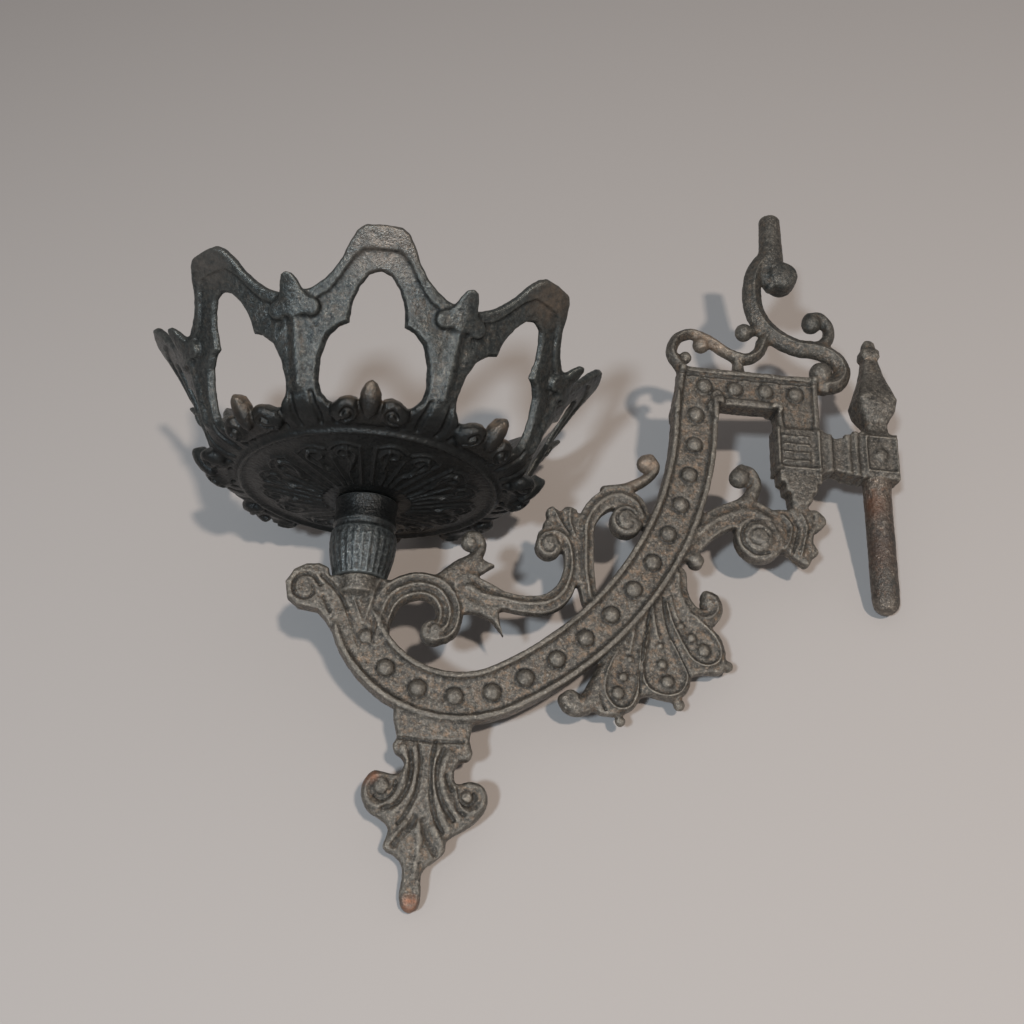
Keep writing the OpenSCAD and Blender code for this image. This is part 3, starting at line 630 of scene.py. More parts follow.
def lower_branch(arm):
    """The branch from the C-scroll up to a volute, with a leaf below it and a fan on it."""
    arm.scroll([(-131, -47.5, 4.6), (-126, -50, 4.8), (-120.5, -50.6, 3), (-113.5, -51.4, 3),
                (-107, -50.4, 3.2), (-102.4, -46.4, 3), (-100.3, -40, 2.4), (-100.4, -34, 2.2),
                (-102.2, -29.2, 2.1), (-105.6, -27.3, 2.1), (-109, -28.4, 2)], 2.9, 1.0, 0.4)
    arm.stroke([(-104.2, -31, 0.6), (-105, -28.8, 0.6), (-107.6, -28.4, 0.6), (-109.6, -30.4, 0.6),
                (-109.2, -33.2, 0.6), (-106.8, -34, 0.6), (-105.6, -32.4, 0.5)], -0.6)
    arm.boss(-107.3, -31.6, 4.3, 2.9, 0.8)
    arm.clear()
    arm.plate([(-133, -52), (-132.4, -55.3), (-127.6, -55.6), (-123.6, -57.4), (-119.9, -61.9),
               (-121.2, -57), (-121.6, -53.4), (-118.5, -52)], 2.4)
    arm.stroke([(-106.4, -19.4, 0.8), (-104.6, -23, 0.9), (-101.4, -27.4, 0.8)], 0.7)
    arm.stroke([(-101, -19, 0.8), (-101.2, -23, 0.9), (-99.4, -28, 0.8)], 0.7)
    arm.lines(0.6, -0.6, ((-103.6, -20.4), (-102.8, -24), (-100.6, -28)))
    arm.plate([(-108.6, -28), (-109.4, -24.6), (-108.2, -22.4), (-108.6, -19.8), (-106.4, -18.2),
               (-104.2, -19.8), (-102.6, -18), (-99.8, -18.2), (-98.2, -20.4), (-98.4, -30), (-103, -30)],
              2.3, curved=True)
    arm.clear()
    arm.ball(-107, -24.6, 1.7)


def upper_branch(arm):
    """The branch that climbs to a volute beside the sweep, and its twig."""
    arm.scroll([(-94.2, -48, 2.6), (-95.6, -40, 2.9), (-95.9, -31, 2.9), (-95.6, -23, 3), (-92, -16.6, 3.3),
                (-86, -13.2, 3.7), (-80.4, -15.2, 3.2), (-78, -20, 2.6)], 2.9, 1.0, 0.4)
    arm.stroke([(-80.6, -19.4, 0.7), (-82.4, -17.8, 0.7), (-85.4, -18.6, 0.7), (-86.4, -21.6, 0.7),
                (-84.8, -24.2, 0.7), (-82, -24, 0.6), (-81, -22, 0.5)], -0.7)
    arm.boss(-83.2, -21.5, 5.2, 3.0, 0.8)
    arm.clear()
    arm.scroll([(-90.2, -10.6, 1.3), (-85, -10.4, 2), (-79.6, -8, 2), (-75.4, -4.6, 1.8), (-73.6, -1.4, 1.7),
                (-75.2, 1.4, 1.6)], 2.5, 0, 0, 0.4)
    arm.ball(-76.6, -0.4, 3.2)


def right_branch(arm):
    """The branch to the right of the sweep: a large volute, its twig and a leaf."""
    arm.scroll([(-64, -29, 4), (-57, -21, 4.2), (-50, -16.6, 4.5), (-43.5, -14.8, 4.6), (-37.8, -17.4, 4.2),
                (-35, -23, 3.4)], 2.9, 1.0, 0.35)
    arm.lines(0.8, -0.9, ((-34.4, -21.4), (-35.8, -18.4), (-39.6, -17.4), (-43.6, -18.4), (-46.2, -22),
                          (-45.8, -26.4), (-42, -29), (-38, -28.4)))
    arm.boss(-40.4, -23.4, 8.0, 2.9, 0.4)
    arm.clear()
    arm.stroke([(-38.2, -23, 0.7), (-39.4, -21.2, 0.7), (-42, -20.8, 0.7), (-44, -23, 0.7),
                (-43.2, -25.8, 0.7), (-40.4, -26.6, 0.6)], -0.7)
    arm.boss(-41, -23.6, 4.6, 3.6, 0.9)
    arm.clear()
    arm.scroll([(-47, -14.5, 3.2), (-42.6, -9, 2.6), (-40.8, -4.2, 2.1), (-42.2, -0.4, 1.9),
                (-45.4, 0.6, 1.8)], 2.6, 0, 0, 0.4)
    arm.ball(-46, -2.5, 3.5)
    arm.stroke([(-33, -15.4, 0.9), (-30.4, -19, 1.0), (-31.2, -24, 1.0), (-33.6, -28, 0.8)], 0.9)
    arm.stroke([(-27, -14.6, 0.9), (-25.4, -18.4, 1.0), (-26.2, -23, 1.0), (-27.6, -28.6, 0.8)], 0.8)
    arm.stroke([(-30.2, -14.8, 0.6), (-27.8, -19, 0.7), (-28.8, -24, 0.7), (-30.6, -29, 0.6)], -0.8)
    arm.stroke([(-22.6, -14.2, 0.7), (-22.8, -17.6, 0.8), (-25, -21, 0.6)], -0.5)
    arm.plate([(-36, -14.4), (-31.4, -12.9), (-26, -13.2), (-22.2, -11.9), (-18.9, -14), (-18.2, -16.6),
               (-20.2, -18.8), (-22.4, -20.6), (-22.8, -24), (-21.2, -26.8), (-23.4, -29), (-25, -31.8),
               (-28.4, -30.4), (-31.8, -27.6), (-35, -25)], 2.6, curved=True)
    arm.clear()
    arm.plate([(-30, -16), (-30, -10), (-24.2, -10), (-24.2, -16)], 2.6)
    arm.boss(-60.8, -32.8, 2.5, 2.6, 0.6)


def palmette_fan(arm):
    """The fan of three lobes under the sweep, each rimmed and beaded."""
    arm.scroll([(-67, -38, 3.2), (-66.6, -44.5, 3.4), (-63.4, -50.4, 3.5), (-58, -51.6, 3),
                (-54.8, -48.6, 2.1), (-55.4, -44.9, 1.8), (-58, -43.8, 1.6)], 2.7, 1.0, 0.3)
    arm.ball(-57, -46.4, 3)
    arm.lines(1.0, 0.95, ((-63, -51), (-59.6, -53.6), (-56, -57.2), (-54.2, -61), (-54.8, -64.8),
                          (-58.6, -66.6), (-62.8, -65), (-65.8, -60.6), (-68.8, -54.4), (-70.6, -48)),
              ((-69.6, -59.6), (-66.4, -65.4), (-64.6, -70.6), (-66.6, -75.2), (-71.2, -76.6), (-76.2, -74.8),
               (-78.2, -70), (-77.4, -63), (-76.2, -56)),
              ((-78.6, -62), (-79, -69), (-79.6, -76), (-82, -80.8), (-86.4, -81), (-89.4, -76.4),
               (-88.6, -70), (-85.8, -64)))
    arm.lines(0.6, -0.8, ((-71.6, -46), (-70.6, -54), (-68.2, -60.4), (-65.6, -66), (-63.6, -70)),
              ((-76, -52), (-77.8, -62), (-78.6, -69), (-78.8, -76)),
              ((-86, -62), (-89.6, -70), (-90.6, -77), (-89, -82)))
    arm.lines(1.1, 0.7, ((-75, -50), (-74.4, -55), (-73.4, -59)), ((-80.6, -56), (-81.4, -61), (-82, -64)),
              ((-69.4, -46), (-68.6, -50), (-67.2, -53)))
    arm.dots([(-72.8, -61.6), (-82, -66.4), (-66.4, -54.8)], 1.2, 1.0)
    arm.dots([(-72.2, -67.2), (-84, -72), (-63.2, -58.4)], 1.6, 1.2)
    arm.dots([(-70.6, -72.4), (-85.6, -77), (-59.4, -62)], 2.1, 1.4)
    palmette = [(-62, -48), (-56.2, -54.5), (-53.8, -56.9), (-52.4, -60.9), (-52.2, -63.3), (-53.4, -68.2),
                (-59.1, -69), (-62.7, -70.2), (-63.5, -73.8), (-65.5, -76.3), (-68.8, -77.9), (-73.6, -77.1),
                (-77.7, -77.1), (-79.7, -80.3), (-82.5, -82.3), (-86.6, -83.5), (-91.4, -82.7), (-92.5, -76),
                (-87, -64), (-78, -52), (-70, -40)]
    arm.plate(palmette, 2.3, curved=True)
    arm.clear()
    for place in ((-51.6, -65.8, 1.9), (-66.6, -78.7, 1.9), (-84.3, -84.8, 1.7)):
        arm.ball(*place)
    arm.scroll([(-86, -65, 3.2), (-90, -73, 3.3), (-94, -79.8, 3.2), (-98.6, -81.8, 2.6),
                (-101.2, -79.6, 2)], 2.6, 0.5, 0.3)
    arm.boss(-99.2, -79.4, 3, 2.7, 0.5)


def acanthus_drop(arm):
    """Two ribbed stems that end in volutes, over a pointed leaf and a round tip."""
    arm.lines(0.75, -0.75,
              ((-142.6, -96), (-141.8, -100), (-141.9, -105), (-142.6, -110), (-144.5, -114.5), (-147, -118)),
              ((-145, -98), (-144.3, -104), (-145.3, -109), (-148, -113), (-151.5, -114.3)),
              ((-148.5, -106.5), (-149.2, -110), (-151.8, -112), (-154, -111)),
              ((-138, -95), (-138.8, -100), (-138.8, -106), (-138, -112), (-136.3, -117), (-134.5, -120)),
              ((-135.5, -96.5), (-137, -102), (-136.5, -108), (-134.5, -113), (-131.5, -116.5)),
              ((-134.3, -104), (-133, -107.5), (-131.4, -110), (-130.5, -113.5), (-128.5, -115)),
              ((-130.8, -108), (-130, -111), (-127.8, -112.2), (-126, -110.5), (-126.4, -109)),
              ((-149, -94.3), (-139.5, -94.8), (-130, -94.4)))
    arm.lines(1.9, 0.75, ((-143.6, -97), (-143, -102), (-143.4, -107), (-145, -111.5), (-148.5, -115.5)),
              ((-147, -97), (-146, -101), (-146.2, -105), (-147.6, -109.5), (-150.2, -112.6),
               (-153.5, -113.8), (-156.2, -111.8), (-156.6, -108.6), (-154.8, -105.8), (-152.4, -105.2)),
              ((-136.8, -97), (-138, -101), (-137.8, -106), (-136.6, -111), (-134.6, -116), (-133, -119)),
              ((-134, -98), (-135.6, -103), (-134.8, -108), (-132.6, -112.5), (-130.2, -115.8)),
              ((-131.8, -107), (-131, -110.5), (-129.4, -113.4), (-127, -114.4), (-124.2, -112.6),
               (-123.4, -109.8), (-124.6, -107.2), (-127.4, -106.6)),
              ((-141, -118), (-140.8, -124), (-141.6, -132)), ((-145, -118), (-147.6, -122)),
              ((-137, -119), (-134.8, -122.6)))
    arm.lines(1.4, -0.8, ((-142.2, -116), (-143.5, -119), (-146, -121.5), (-147.6, -124)),
              ((-140, -117), (-138.8, -121), (-136, -126)))
    arm.dots([(-152.4, -108.2)], 2.4, 1.3)
    arm.dots([(-128.2, -110)], 1.9, 1.1)
    arm.plate([(-149.3, -84), (-149.3, -94), (-150.3, -96), (-149.3, -98.6), (-147.5, -99.6),
               (-146.4, -101.4), (-147.8, -104), (-150, -104.3), (-154.5, -103.6), (-156.8, -105.6),
               (-158, -109), (-157.2, -112.6), (-155, -115.6), (-152.5, -116.8), (-149.6, -119.6),
               (-150.6, -124.6), (-147, -127), (-145.2, -129), (-144.8, -132), (-145, -137.6),
               (-142, -141.2), (-139.2, -137.6), (-139.3, -133), (-138.6, -130), (-135, -127),
               (-133.2, -125), (-132.8, -122), (-128.5, -119), (-125.5, -116.8), (-122.8, -113.6),
               (-122, -110), (-123, -107), (-125, -105.6), (-127.6, -105.2), (-131.2, -106), (-132, -103),
               (-130.6, -100.2), (-128.2, -99.6), (-127, -97.5), (-128, -94), (-129, -84)],
              2.7, 1.6, curved=True)
    arm.clear()
    arm.ball(-142, -138.7, 2.8)


def crest(arm):
    """The open loop and the tall scroll on the square frame."""
    arm.scroll([(-64.6, 36.2, 2.2), (-67.9, 41.5, 2.1), (-66, 47.4, 2), (-60.8, 49.8, 2), (-55, 47.6, 2.2),
                (-48.4, 43.4, 2.1), (-42.4, 42, 2.2), (-38.2, 44.6, 2.2), (-36.4, 48.8, 2.4),
                (-34.8, 52, 2.4)], 3.0, 0, 0, 0.55, power=1)
    arm.ball(-57.8, 45.8, 2.9)
    arm.ball(-63.2, 40.4, 2.2)
    arm.plate([(-47.6, 35), (-43, 35), (-44, 42), (-46.6, 43)], 2.2)
    arm.scroll([(-33.6, 84, 3.2), (-38, 77, 3.3), (-39.5, 67, 3.5), (-37.6, 58.4, 3.6), (-32.4, 52.2, 3.5),
                (-24.8, 48.6, 3.3), (-17.4, 48, 3.2), (-11.4, 45.2, 3.1), (-9, 40.4, 3), (-11, 35.6, 2.8),
                (-15.6, 33.8, 2.4)], 3.9, 0, 0, 0.6, power=1)
    arm.scroll([(-17.5, 48, 2.4), (-13.4, 52.8, 2.2), (-13, 57.4, 2.1), (-15.8, 61, 2), (-19.4, 60.8, 1.9)],
               2.6, 0, 0, 0.4)
    arm.ball(-18.8, 58.4, 3.5)
    arm.boss(-28.9, 75.4, 5.4, 4.2, 1.0, 2.2)
    arm.scroll([(-32, 80.5, 2.6), (-35, 76.6, 2.2), (-33, 71.6, 1.7)], 2.8, 0, 0, 0.4)
    arm.ball(-42.8, 52.4, 3.2)
    arm.scroll([(-42.6, 52.4, 1.9), (-39.6, 53.2, 1.8), (-36.6, 54.6, 1.8)], 2.2, 0, 0, 0.4)
    arm.ball(-16.6, 39.2, 4)
    arm.plate([(-19, 31.5), (-14.8, 31.5), (-14.8, 39), (-19, 39)], 2.4)


def spigot(arm):
    """The rod on top of the crest, which tapers upwards."""
    low, top = 83, 100.7
    arm.solid((-37, 80), (-27, 103), lambda x, y, z: soft_min(
        np.interp(z, [low, top], [4.4, 3.75]) - np.hypot(x + 32, y), top - z, 1.6))


def spear(arm):
    """The square spear over the hinge block, with softened corners."""
    top = 54.1
    profile = np.array([(16.8, 3.9), (20.4, 3.8), (25, 6.3), (28.8, 7.0), (33.3, 5.6), (38.8, 3.9),
                        (45.2, 2.7), (46.8, 3.4), (48.8, 3.3), (50.2, 2.3), (52.2, 2.1), (top, 0.9)])
    squareness = 5
    arm.solid((-7, 16), (8.4, top), lambda x, y, z: soft_min(
        np.interp(z, *profile.T) - (np.abs(x - 0.7) ** squareness + y ** squareness) ** (1 / squareness),
        top - z, 1.2))


def make_arm():
    """The arm's casting in one mesh. The screw and the washer keep their CAD shapes."""
    arm = Casting((-188, -143.6), (10.4, 104.6), 6.6, PITCH)
    for part in (band_and_frame, shield, hinge_block, leaf_head, c_scroll, lower_branch, upper_branch,
                 right_branch, palmette_fan, acanthus_drop, crest, spigot, spear):
        part(arm)
    nodes = ["arm_bowl", "arm_sweep", "top_frame", "shield_block", "hinge_block", "spear_finial",
             "seat_volute", "c_scroll", "lower_branch", "upper_branch", "right_branch",
             "palmette_fan", "drop_finial", "crest_loop", "crest_scroll", "reflector_spigot"]
    add_mesh("arm_casting", *arm.mesh(), ARM, "arm", nodes, "arm_iron")
    for node in ("cup_screw", "screw_washer"):
        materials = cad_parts[node].data.materials
        materials.clear()
        materials.append(CUP)


def make_pin():
    """The hinge pin, which tapers a little towards its domed end."""
    pin = Casting((-6, -47), (6, 1.4), 6, PITCH)
    dome_from, root = -41, 0.8
    pin.solid((-6, -47), (6, 1), lambda x, y, z: soft_min(
        np.interp(z, [-42, -36, -4, -3.2], [4.35, 4.5, 4.6, 4.75])
        - np.sqrt(x ** 2 + y ** 2 + np.maximum(dome_from - z, 0) ** 2), root - z, 0.3), 0.1)
    add_mesh("pin", *pin.mesh(), PIN, "arm", ["hinge_pin"], "pin_iron")


def make_pedestal():
    """A plain collar over a bell of fine reeds. Its top stays just clear of the cup."""
    profile = np.array([(-47.4, 8.2), (-46, 8.4), (-43.6, 9.1), (-40, 9.9), (-36, 10.3), (-33, 10.0),
                        (-31.6, 8.9), (-31, 9.3), (-30.4, 9.8), (-29, 9.5), (-27, 9.3), (-24.6, 9.4),
                        (-22.2, 9.8)])
    top, foot = -22.35, -47.4
    reeds, reed_depth = 28, 0.28
    bell = Casting((-REACH - 12, -48.6), (-REACH + 12, -21), 12, PITCH)
    bell.solid((-REACH - 12, -48), (-REACH + 12, -22), lambda x, y, z: soft_min(
        np.interp(z, *profile.T) - np.hypot(x + REACH, y) - reed_depth * np.clip((-33 - z) / 3, 0, 1)
        * np.sin(reeds / 2 * np.arctan2(y, x + REACH)) ** 2, np.minimum(top - z, z - foot), 0.4), 0.1)
    add_mesh("bell", *bell.mesh(), BELL, "arm", ["pedestal"], "cup_iron", 0.12)


make_arm()
make_pin()
make_pedestal()


# ---- the cup ----

BAY = math.radians(45)


class Ring:
    """A round casting of eight equal bays. Its sheet has the angle from a bay's middle across it
    and the length along the outer profile up it; height off the sheet is outwards."""

    def __init__(self, profile, depth, pitch):
        fine = curve([(*p, 0) for p in profile], step=0.2)[:, :2]
        along = np.concatenate([[0], np.cumsum(np.hypot(*np.diff(fine, axis=0).T))])
        self.pitch = pitch
        self.s = np.arange(-2 * pitch, along[-1] + 2 * pitch, pitch)
        self.r, self.z = (np.interp(self.s, along, fine[:, i]) for i in (0, 1))
        # the profile's direction, smoothed, and the way out of the sheet at a right angle to it
        slope = np.stack([np.gradient(self.r), np.gradient(self.z)])
        for _ in range(6):
            slope[:, 1:-1] = (slope[:, 2:] + slope[:, :-2]) / 2
        slope[:, [0, -1]] = slope[:, [1, -2]]
        slope /= np.hypot(*slope)
        self.out_r, self.out_z = slope[1], -slope[0]
        # the ends run on straight, so that the sheet can stop short of them
        for i, rows in ((2, (0, 1)), (-3, (-2, -1))):
            for row in rows:
                step = self.s[row] - self.s[i]
                self.r[row] = self.r[i] + slope[0, i] * step
                self.z[row] = self.z[i] + slope[1, i] * step
        # samples of one bay: angle, length along the profile and height off the sheet
        count = int(60 * BAY / pitch)
        self.turn = ((np.arange(count) + 0.5) / count - 0.5) * BAY
        self.n = np.arange(-depth[0], depth[1], pitch)
        t, s = np.meshgrid(np.abs(self.turn), self.s, indexing="ij")
        self.radius = np.broadcast_to(self.r, t.shape)
        self.bay_x, self.post_x = self.radius * t, self.radius * (BAY / 2 - t)
        self.t, self.sheet_s = t, s
        self.field = np.full((*t.shape, len(self.n)), -3.0, np.float32)
        self.relief = np.zeros(t.shape)

    def height_to_s(self, z):
        """Length along the profile where the outside is at height z, above the underside."""
        keep = slice(np.argmax(self.z > self.z[2] + 0.05), None)
        return np.interp(z, self.z[keep], self.s[keep])

    def on_sheet(self, points):
        """Turns (distance from the bay's or post's middle plane, z, ...) into sheet lengths."""
        rows = []
        for x, z, *rest in points:
            s = self.height_to_s(z)
            r = np.interp(s, self.s, self.r)
            rows.append((r * math.asin(x / r), s, *rest))
        return rows

    def take_relief(self):
        """The ridges and grooves drawn since the last call."""
        relief = self.relief
        self.relief = np.zeros(relief.shape)
        return relief

    def stroke(self, x, s, course, amount):
        """Draws a ridge along a course, or a groove where amount is below 0."""
        course = curve(course, step=0.7)
        gap = course_gap(x, s, course)[0]
        self.relief = self.relief + amount * hump(gap, np.median(course[:, 2]))

    def add(self, gap, front, back, edge=1.2, fillet=1.0):
        """Adds a slab that is gap deep in its outline and lies between two heights off the sheet."""
        front, back = (np.broadcast_to(height, gap.shape) for height in (front, back))
        slab = soft_min(front[..., None] - self.n, self.n - back[..., None], edge)
        self.field = soft_max(self.field, soft_min(gap[..., None], slab, edge), fillet)

    def mesh(self):
        """Vertices in millimetres and quads of the whole ring."""
        field = np.tile(self.field, (8, 1, 1))
        field[:, [0, -1]] = -1
        field[:, :, [0, -1]] = -1
        v, q = surface_net(field.astype(np.float32), wrap=True)
        turn = (v[:, 0] + 0.5) / len(self.turn) * BAY - BAY / 2 - math.pi / 2
        rows = np.arange(len(self.s))
        r, z, out_r, out_z = (np.interp(v[:, 1], rows, a)
                              for a in (self.r, self.z, self.out_r, self.out_z))
        n = self.n[0] + v[:, 2] * self.pitch
        r = r + n * out_r
        place = np.stack([r * np.cos(turn) - REACH, r * np.sin(turn), z + n * out_z], 1)
        return relax(place, q, 1, 0.35), q


def both_sides(points):
    """A closed outline from its right half, mirrored over the middle line."""
    return np.array(points + [(-p[0], *p[1:]) for p in reversed(points)], float)


def pierced_wall(cup):
    """Depth inside the sheet, which the openings pierce and the crown's edge ends, and how far its
    face stands out or lies sunk."""
    x, s = cup.bay_x, cup.sheet_s
    notch, sill, cusp, lower_edge = 14.6, -13, 6, -9.0
    opening = both_sides(cup.on_sheet([(0, 18.4), (2.7, 17.6), (5, 15), (6.7, 11.4), (7.1, 8.4), (7.2, 6.2),
                                       (10.2, 5.2), (13, 2.8), (14.6, -2), (14.8, -7.4), (14, -11.2),
                                       (12, -13.4), (6, -15.4), (0, -15.7)]))
    crown = cup.on_sheet([(0, 28.8), (5.2, 28.6), (7.4, 27.4), (9.6, 24.6), (10.9, 22), (13.8, 18.6),
                          (16.3, 16.7), (18.7, 15.5), (21.2, 14.8), (23.7, notch)])
    crown = both_sides([(0, lower_edge), (34, lower_edge), (34, cup.height_to_s(notch))] + crown[::-1])
    step_line = both_sides(cup.on_sheet([(0, 23.7), (5, 23.6), (7.6, 21.8), (9.9, 18.8), (12.2, 15.8),
                                         (14.4, 13.8), (16.6, 12.8), (18.6, 12.2)]) + [(18.6, 0.0)])
    open_gap = outline_gap(x, s, opening)
    gap = np.minimum(np.minimum(outline_gap(x, s, crown), -open_gap), s)
    # the merlon's outer moulding stands over a sunk panel, and the arch's edge is bevelled
    panel = np.clip(0.5 + outline_gap(x, s, step_line) / 0.7, 0, 1)
    on_arch = np.clip((s - cup.height_to_s(cusp) + 1) / 5, 0, 1)
    on_wall = np.clip((s - cup.height_to_s(sill)) / 4, 0, 1)
    bevel = 1.5
    face = -on_arch * 0.9 * panel - on_wall * bevel * np.clip(1 + open_gap / bevel, 0, 1)
    # below the cusps the wall rolls round into the openings
    face = face - on_wall * (1 - on_arch) * np.clip(1 + open_gap / 4.5, 0, 1) ** 2
    return gap, face


def carve_underside(cup):
    """Two curls beside each post's radius and two ribs on each bay's."""
    post = cup.radius * np.sin(BAY / 2 - cup.t), cup.radius * np.cos(BAY / 2 - cup.t)
    bay = cup.radius * np.sin(cup.t), cup.radius * np.cos(cup.t)
    cup.stroke(*post, [(0, 14, 1.0), (0, 22, 1.0), (0, 27, 0.8)], 0.7)
    cup.stroke(*post, [(1.6, 14, 0.9), (2.6, 20, 1.0), (5.6, 24.4, 1.2), (7.4, 27.6, 1.2), (6.2, 30.6, 1.2),
                       (3.4, 30.6, 1.1), (2.4, 28.4, 1.0), (4, 27.2, 0.9)], 0.8)
    cup.stroke(*post, [(0.8, 31.4, 1.0), (3.4, 33, 1.0), (6.6, 33, 1.0), (9, 31, 0.9)], 0.7)
    cup.stroke(*bay, [(1.5, 14, 0.9), (1.9, 24, 1.0), (2.4, 32, 1.0)], 0.7)
    cup.stroke(*bay, [(4.2, 20, 0.8), (5.8, 27, 0.9), (6.2, 31.5, 0.8)], 0.5)


def carve_bowl(cup, disc_edge):
    """The hollows between the lobed leaves above the disc's edge, and the round flute of the post."""
    u, s = cup.post_x, cup.sheet_s
    for k in range(3):
        cup.stroke(u, s, [(3.0 + 4.4 * k, disc_edge + 3.2, 1.2), (3.6 + 4.6 * k, disc_edge + 7, 1.5),
                          (3.0 + 4.8 * k, cup.height_to_s(-11), 1.2)], -0.9)
    cup.stroke(u, s, cup.on_sheet([(0, 9, 2.6), (0, 3, 2.8), (0, -3, 3.0), (0, -9, 2.6)]), 1.3)


def post_head(cup):
    """Two drooping rounds on each post, under a blunt leaf that leans outwards."""
    u, s = cup.post_x, cup.sheet_s
    (round_u, round_s), = cup.on_sheet([(4.9, 10.6)])
    away = np.hypot(u - round_u, s - round_s)
    cup.add(2.8 - away, 1.4 - 0.04 * away ** 2, -1.6, 0.9)
    tip = 19.6
    leaf = both_sides(cup.on_sheet([(0, tip), (1.7, 18.9), (2.7, 17.2), (3.4, 15), (4.6, 13.2), (5, 12),
                                    (3.4, 9.6), (1.8, 8.6), (0, 8.4)]))
    root = cup.height_to_s(10)
    rise = np.clip((s - root) / (cup.height_to_s(tip) - root), 0, 1.1) ** 1.4
    cup.add(outline_gap(u, s, leaf), 1.7 + 2.0 * rise - 0.05 * u * u, 3.9 * rise - 1.9, 1.0)


def fleur(cup):
    """A round bud between two volutes with dark eyes, at the foot of each opening."""
    x, s = cup.bay_x, cup.sheet_s
    foot = cup.height_to_s(-15.7)

    def above(points):
        return [(p[0], foot + p[1], *p[2:]) for p in points]

    volute = np.array(above([(2.6, 3.5), (3.6, 6.6), (6, 7.4), (8.6, 6.6), (11.2, 4.2), (11.6, 1.6),
                             (9.6, -0.6), (6, -1.2), (3.4, 0.4)]))
    cup.stroke(x, s, above([(7.6, 3.0, 0.8), (6.4, 4.4, 0.8), (4.6, 3.4, 0.8), (5, 1.4, 0.8),
                            (7.4, 0.6, 0.8)]), -1.1)
    away = np.hypot(x - 6.4, s - foot - 3.2)
    cup.add(outline_gap(x, s, volute), 2.9 - 0.07 * away ** 2 + cup.take_relief(), -2.4, 1.8, 0.8)
    base = both_sides(above([(0, -2), (7, -2.2), (9, 0), (6, 3), (0, 5)]))
    cup.add(outline_gap(x, s, base), 1.0, -2.2, 1.2)
    bud = both_sides(above([(0, 11.8), (1.7, 10.8), (3.1, 8.2), (3.1, 5.4), (1.8, 2.6), (0, 1.4)]))
    cup.add(outline_gap(x, s, bud), 3.2 - 0.16 * x * x, -2.0, 1.6, 0.6)


def make_cup():
    """The crown cup: its disc, its bowl and its pierced wall are one casting."""
    profile = [(2.48, -22), (11.5, -22), (25, -19.6), (37, -17.4), (41, -16.6), (45, -15.6), (48.6, -13.8),
               (51.2, -11), (53.6, -5.6), (55.7, 0), (58.2, 6.1), (61.1, 12), (64.4, 18), (68.2, 23.5),
               (72.8, 28.8)]
    thickness = np.array([(0, 3.8), (15, 4.0), (31, 5.0), (38, 4.0), (42, 3.4), (47, 3.0), (52, 2.9),
                          (60, 2.9), (72, 2.7)])
    cup = Ring(profile, (5.6, 6.0), PITCH)
    gap, face = pierced_wall(cup)
    # a bead runs round the disc's edge
    disc_edge, bead_half = np.interp(39.3, cup.r, cup.s), 1.7
    face = face + 1.2 * hump(bead_half - np.abs(cup.sheet_s - disc_edge), bead_half)
    carve_underside(cup)
    face = face + cup.take_relief()
    carve_bowl(cup, disc_edge)
    face = face + cup.take_relief()
    cup.add(gap, face, -np.interp(cup.r, *thickness.T))
    post_head(cup)
    fleur(cup)
    nodes = ["cup_floor", "cup_bowl", *[f"crown_post_{k}" for k in range(1, 9)]]
    add_mesh("cup_casting", *cup.mesh(), CUP, "cup", nodes, "cup_iron")


make_cup()


# ---- camera, table and light ----

# the photo's camera: its axes and its place in the part's frame
RIGHT = np.array([0.99283, -0.11128, 0.04355])
DOWN = np.array([0.08350, 0.38536, -0.91898])
AHEAD = np.array([0.08548, 0.91603, 0.39189])
CAMERA_PLACE = (-0.15136, -0.34606, -0.16899)


def make_camera():
    """The photo's camera."""
    lens = bpy.data.cameras.new("camera")
    lens.lens, lens.sensor_width = 42.60, 36
    lens.clip_start, lens.clip_end = 0.01, 20
    camera = new_object("camera", lens)
    axes = np.stack([RIGHT, -DOWN, -AHEAD], 1).tolist()
    rows = [[*row, place] for row, place in zip(axes, CAMERA_PLACE)]
    camera.matrix_world = Matrix([*rows, [0, 0, 0, 1]])
    bpy.context.scene.camera = camera


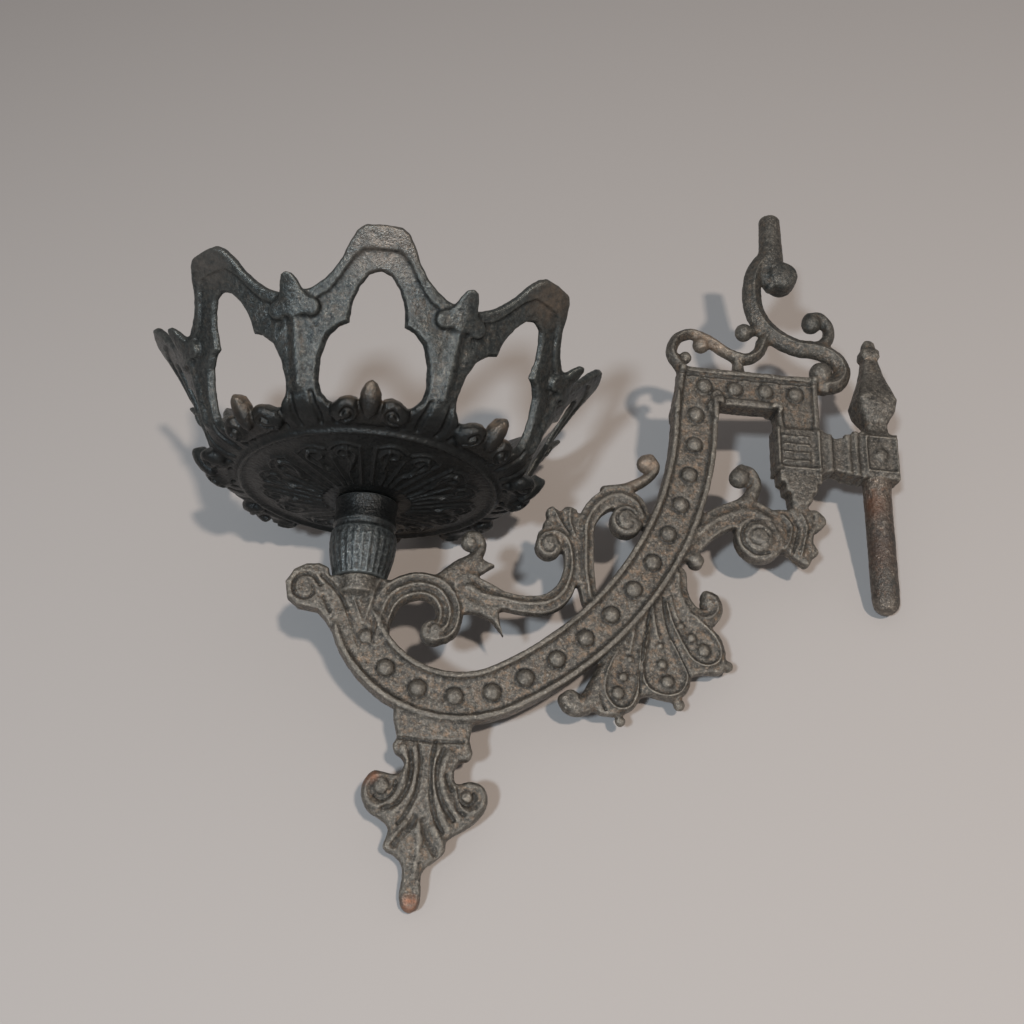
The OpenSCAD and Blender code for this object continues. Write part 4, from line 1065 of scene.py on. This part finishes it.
def table_paint():
    """A dull grey that can be seen through from below."""
    paint = bpy.data.materials.new("table")
    paint.use_nodes = True
    nodes, links = paint.node_tree.nodes, paint.node_tree.links
    grey = nodes["Principled BSDF"]
    grey.inputs["Base Color"].default_value = (0.412, 0.383, 0.369, 1)
    grey.inputs["Roughness"].default_value = 0.9
    clear = nodes.new("ShaderNodeBsdfTransparent")
    either = nodes.new("ShaderNodeMixShader")
    side = nodes.new("ShaderNodeNewGeometry")
    links.new(side.outputs["Backfacing"], either.inputs[0])
    links.new(grey.outputs[0], either.inputs[1])
    links.new(clear.outputs[0], either.inputs[2])
    links.new(either.outputs[0], nodes["Material Output"].inputs[0])
    return paint


def make_table():
    """The table that the bracket lies on, which the pin's end, the drop's tip and the back of the
    crown's rim touch."""
    pin_end, drop_tip, rim = np.array([(0, 5, -42), (-142, 3.4, -139), (-164, 71.5, 29)]) * MM
    normal = np.cross(drop_tip - pin_end, rim - pin_end)
    normal /= -np.linalg.norm(normal)
    along = RIGHT - np.dot(RIGHT, normal) * normal
    across = np.cross(along, normal)
    # a little below the touching points, because the castings' faces aren't quite even
    centre = pin_end - normal * 0.0015
    half_size = 3.0
    corners = [centre + half_size * (a * along + b * across) for a, b in ((-1, -1), (1, -1), (1, 1), (-1, 1))]
    mesh = bpy.data.meshes.new("table")
    mesh.from_pydata([list(corner) for corner in corners], [], [(0, 1, 2, 3)])
    mesh.update()
    if np.dot(mesh.polygons[0].normal, normal) < 0:
        mesh.flip_normals()
    mesh.materials.append(table_paint())
    table = new_object("table", mesh)


def area_light(name, toward, size, power, colour):
    """A square lamp that lights the bracket's middle from the direction given."""
    middle, distance = np.array([-0.09, 0.0, -0.02]), 1.3
    lamp = bpy.data.lights.new(name, "AREA")
    lamp.size, lamp.energy, lamp.color = size, power, colour
    light = new_object(name, lamp)
    toward = toward / np.linalg.norm(toward)
    light.location = middle + toward * distance
    light.rotation_mode = "QUATERNION"
    light.rotation_quaternion = Vector(toward).to_track_quat("Z", "Y")


def make_room():
    """Even light from all sides."""
    room = bpy.data.worlds.new("room")
    bpy.context.scene.world = room
    room.use_nodes = True
    background = room.node_tree.nodes["Background"]
    background.inputs["Color"].default_value = (0.60, 0.58, 0.57, 1)
    background.inputs["Strength"].default_value = 0.40


make_camera()
make_table()
area_light("warm_light", 0.16 * RIGHT - 0.27 * DOWN - AHEAD, 0.05, 10.6, (1.0, 0.87, 0.75))
area_light("cool_light", -0.27 * RIGHT - 0.12 * DOWN - AHEAD, 0.09, 9.6, (0.75, 0.89, 1.0))
make_room()
bpy.context.scene.view_settings.view_transform = "Standard"
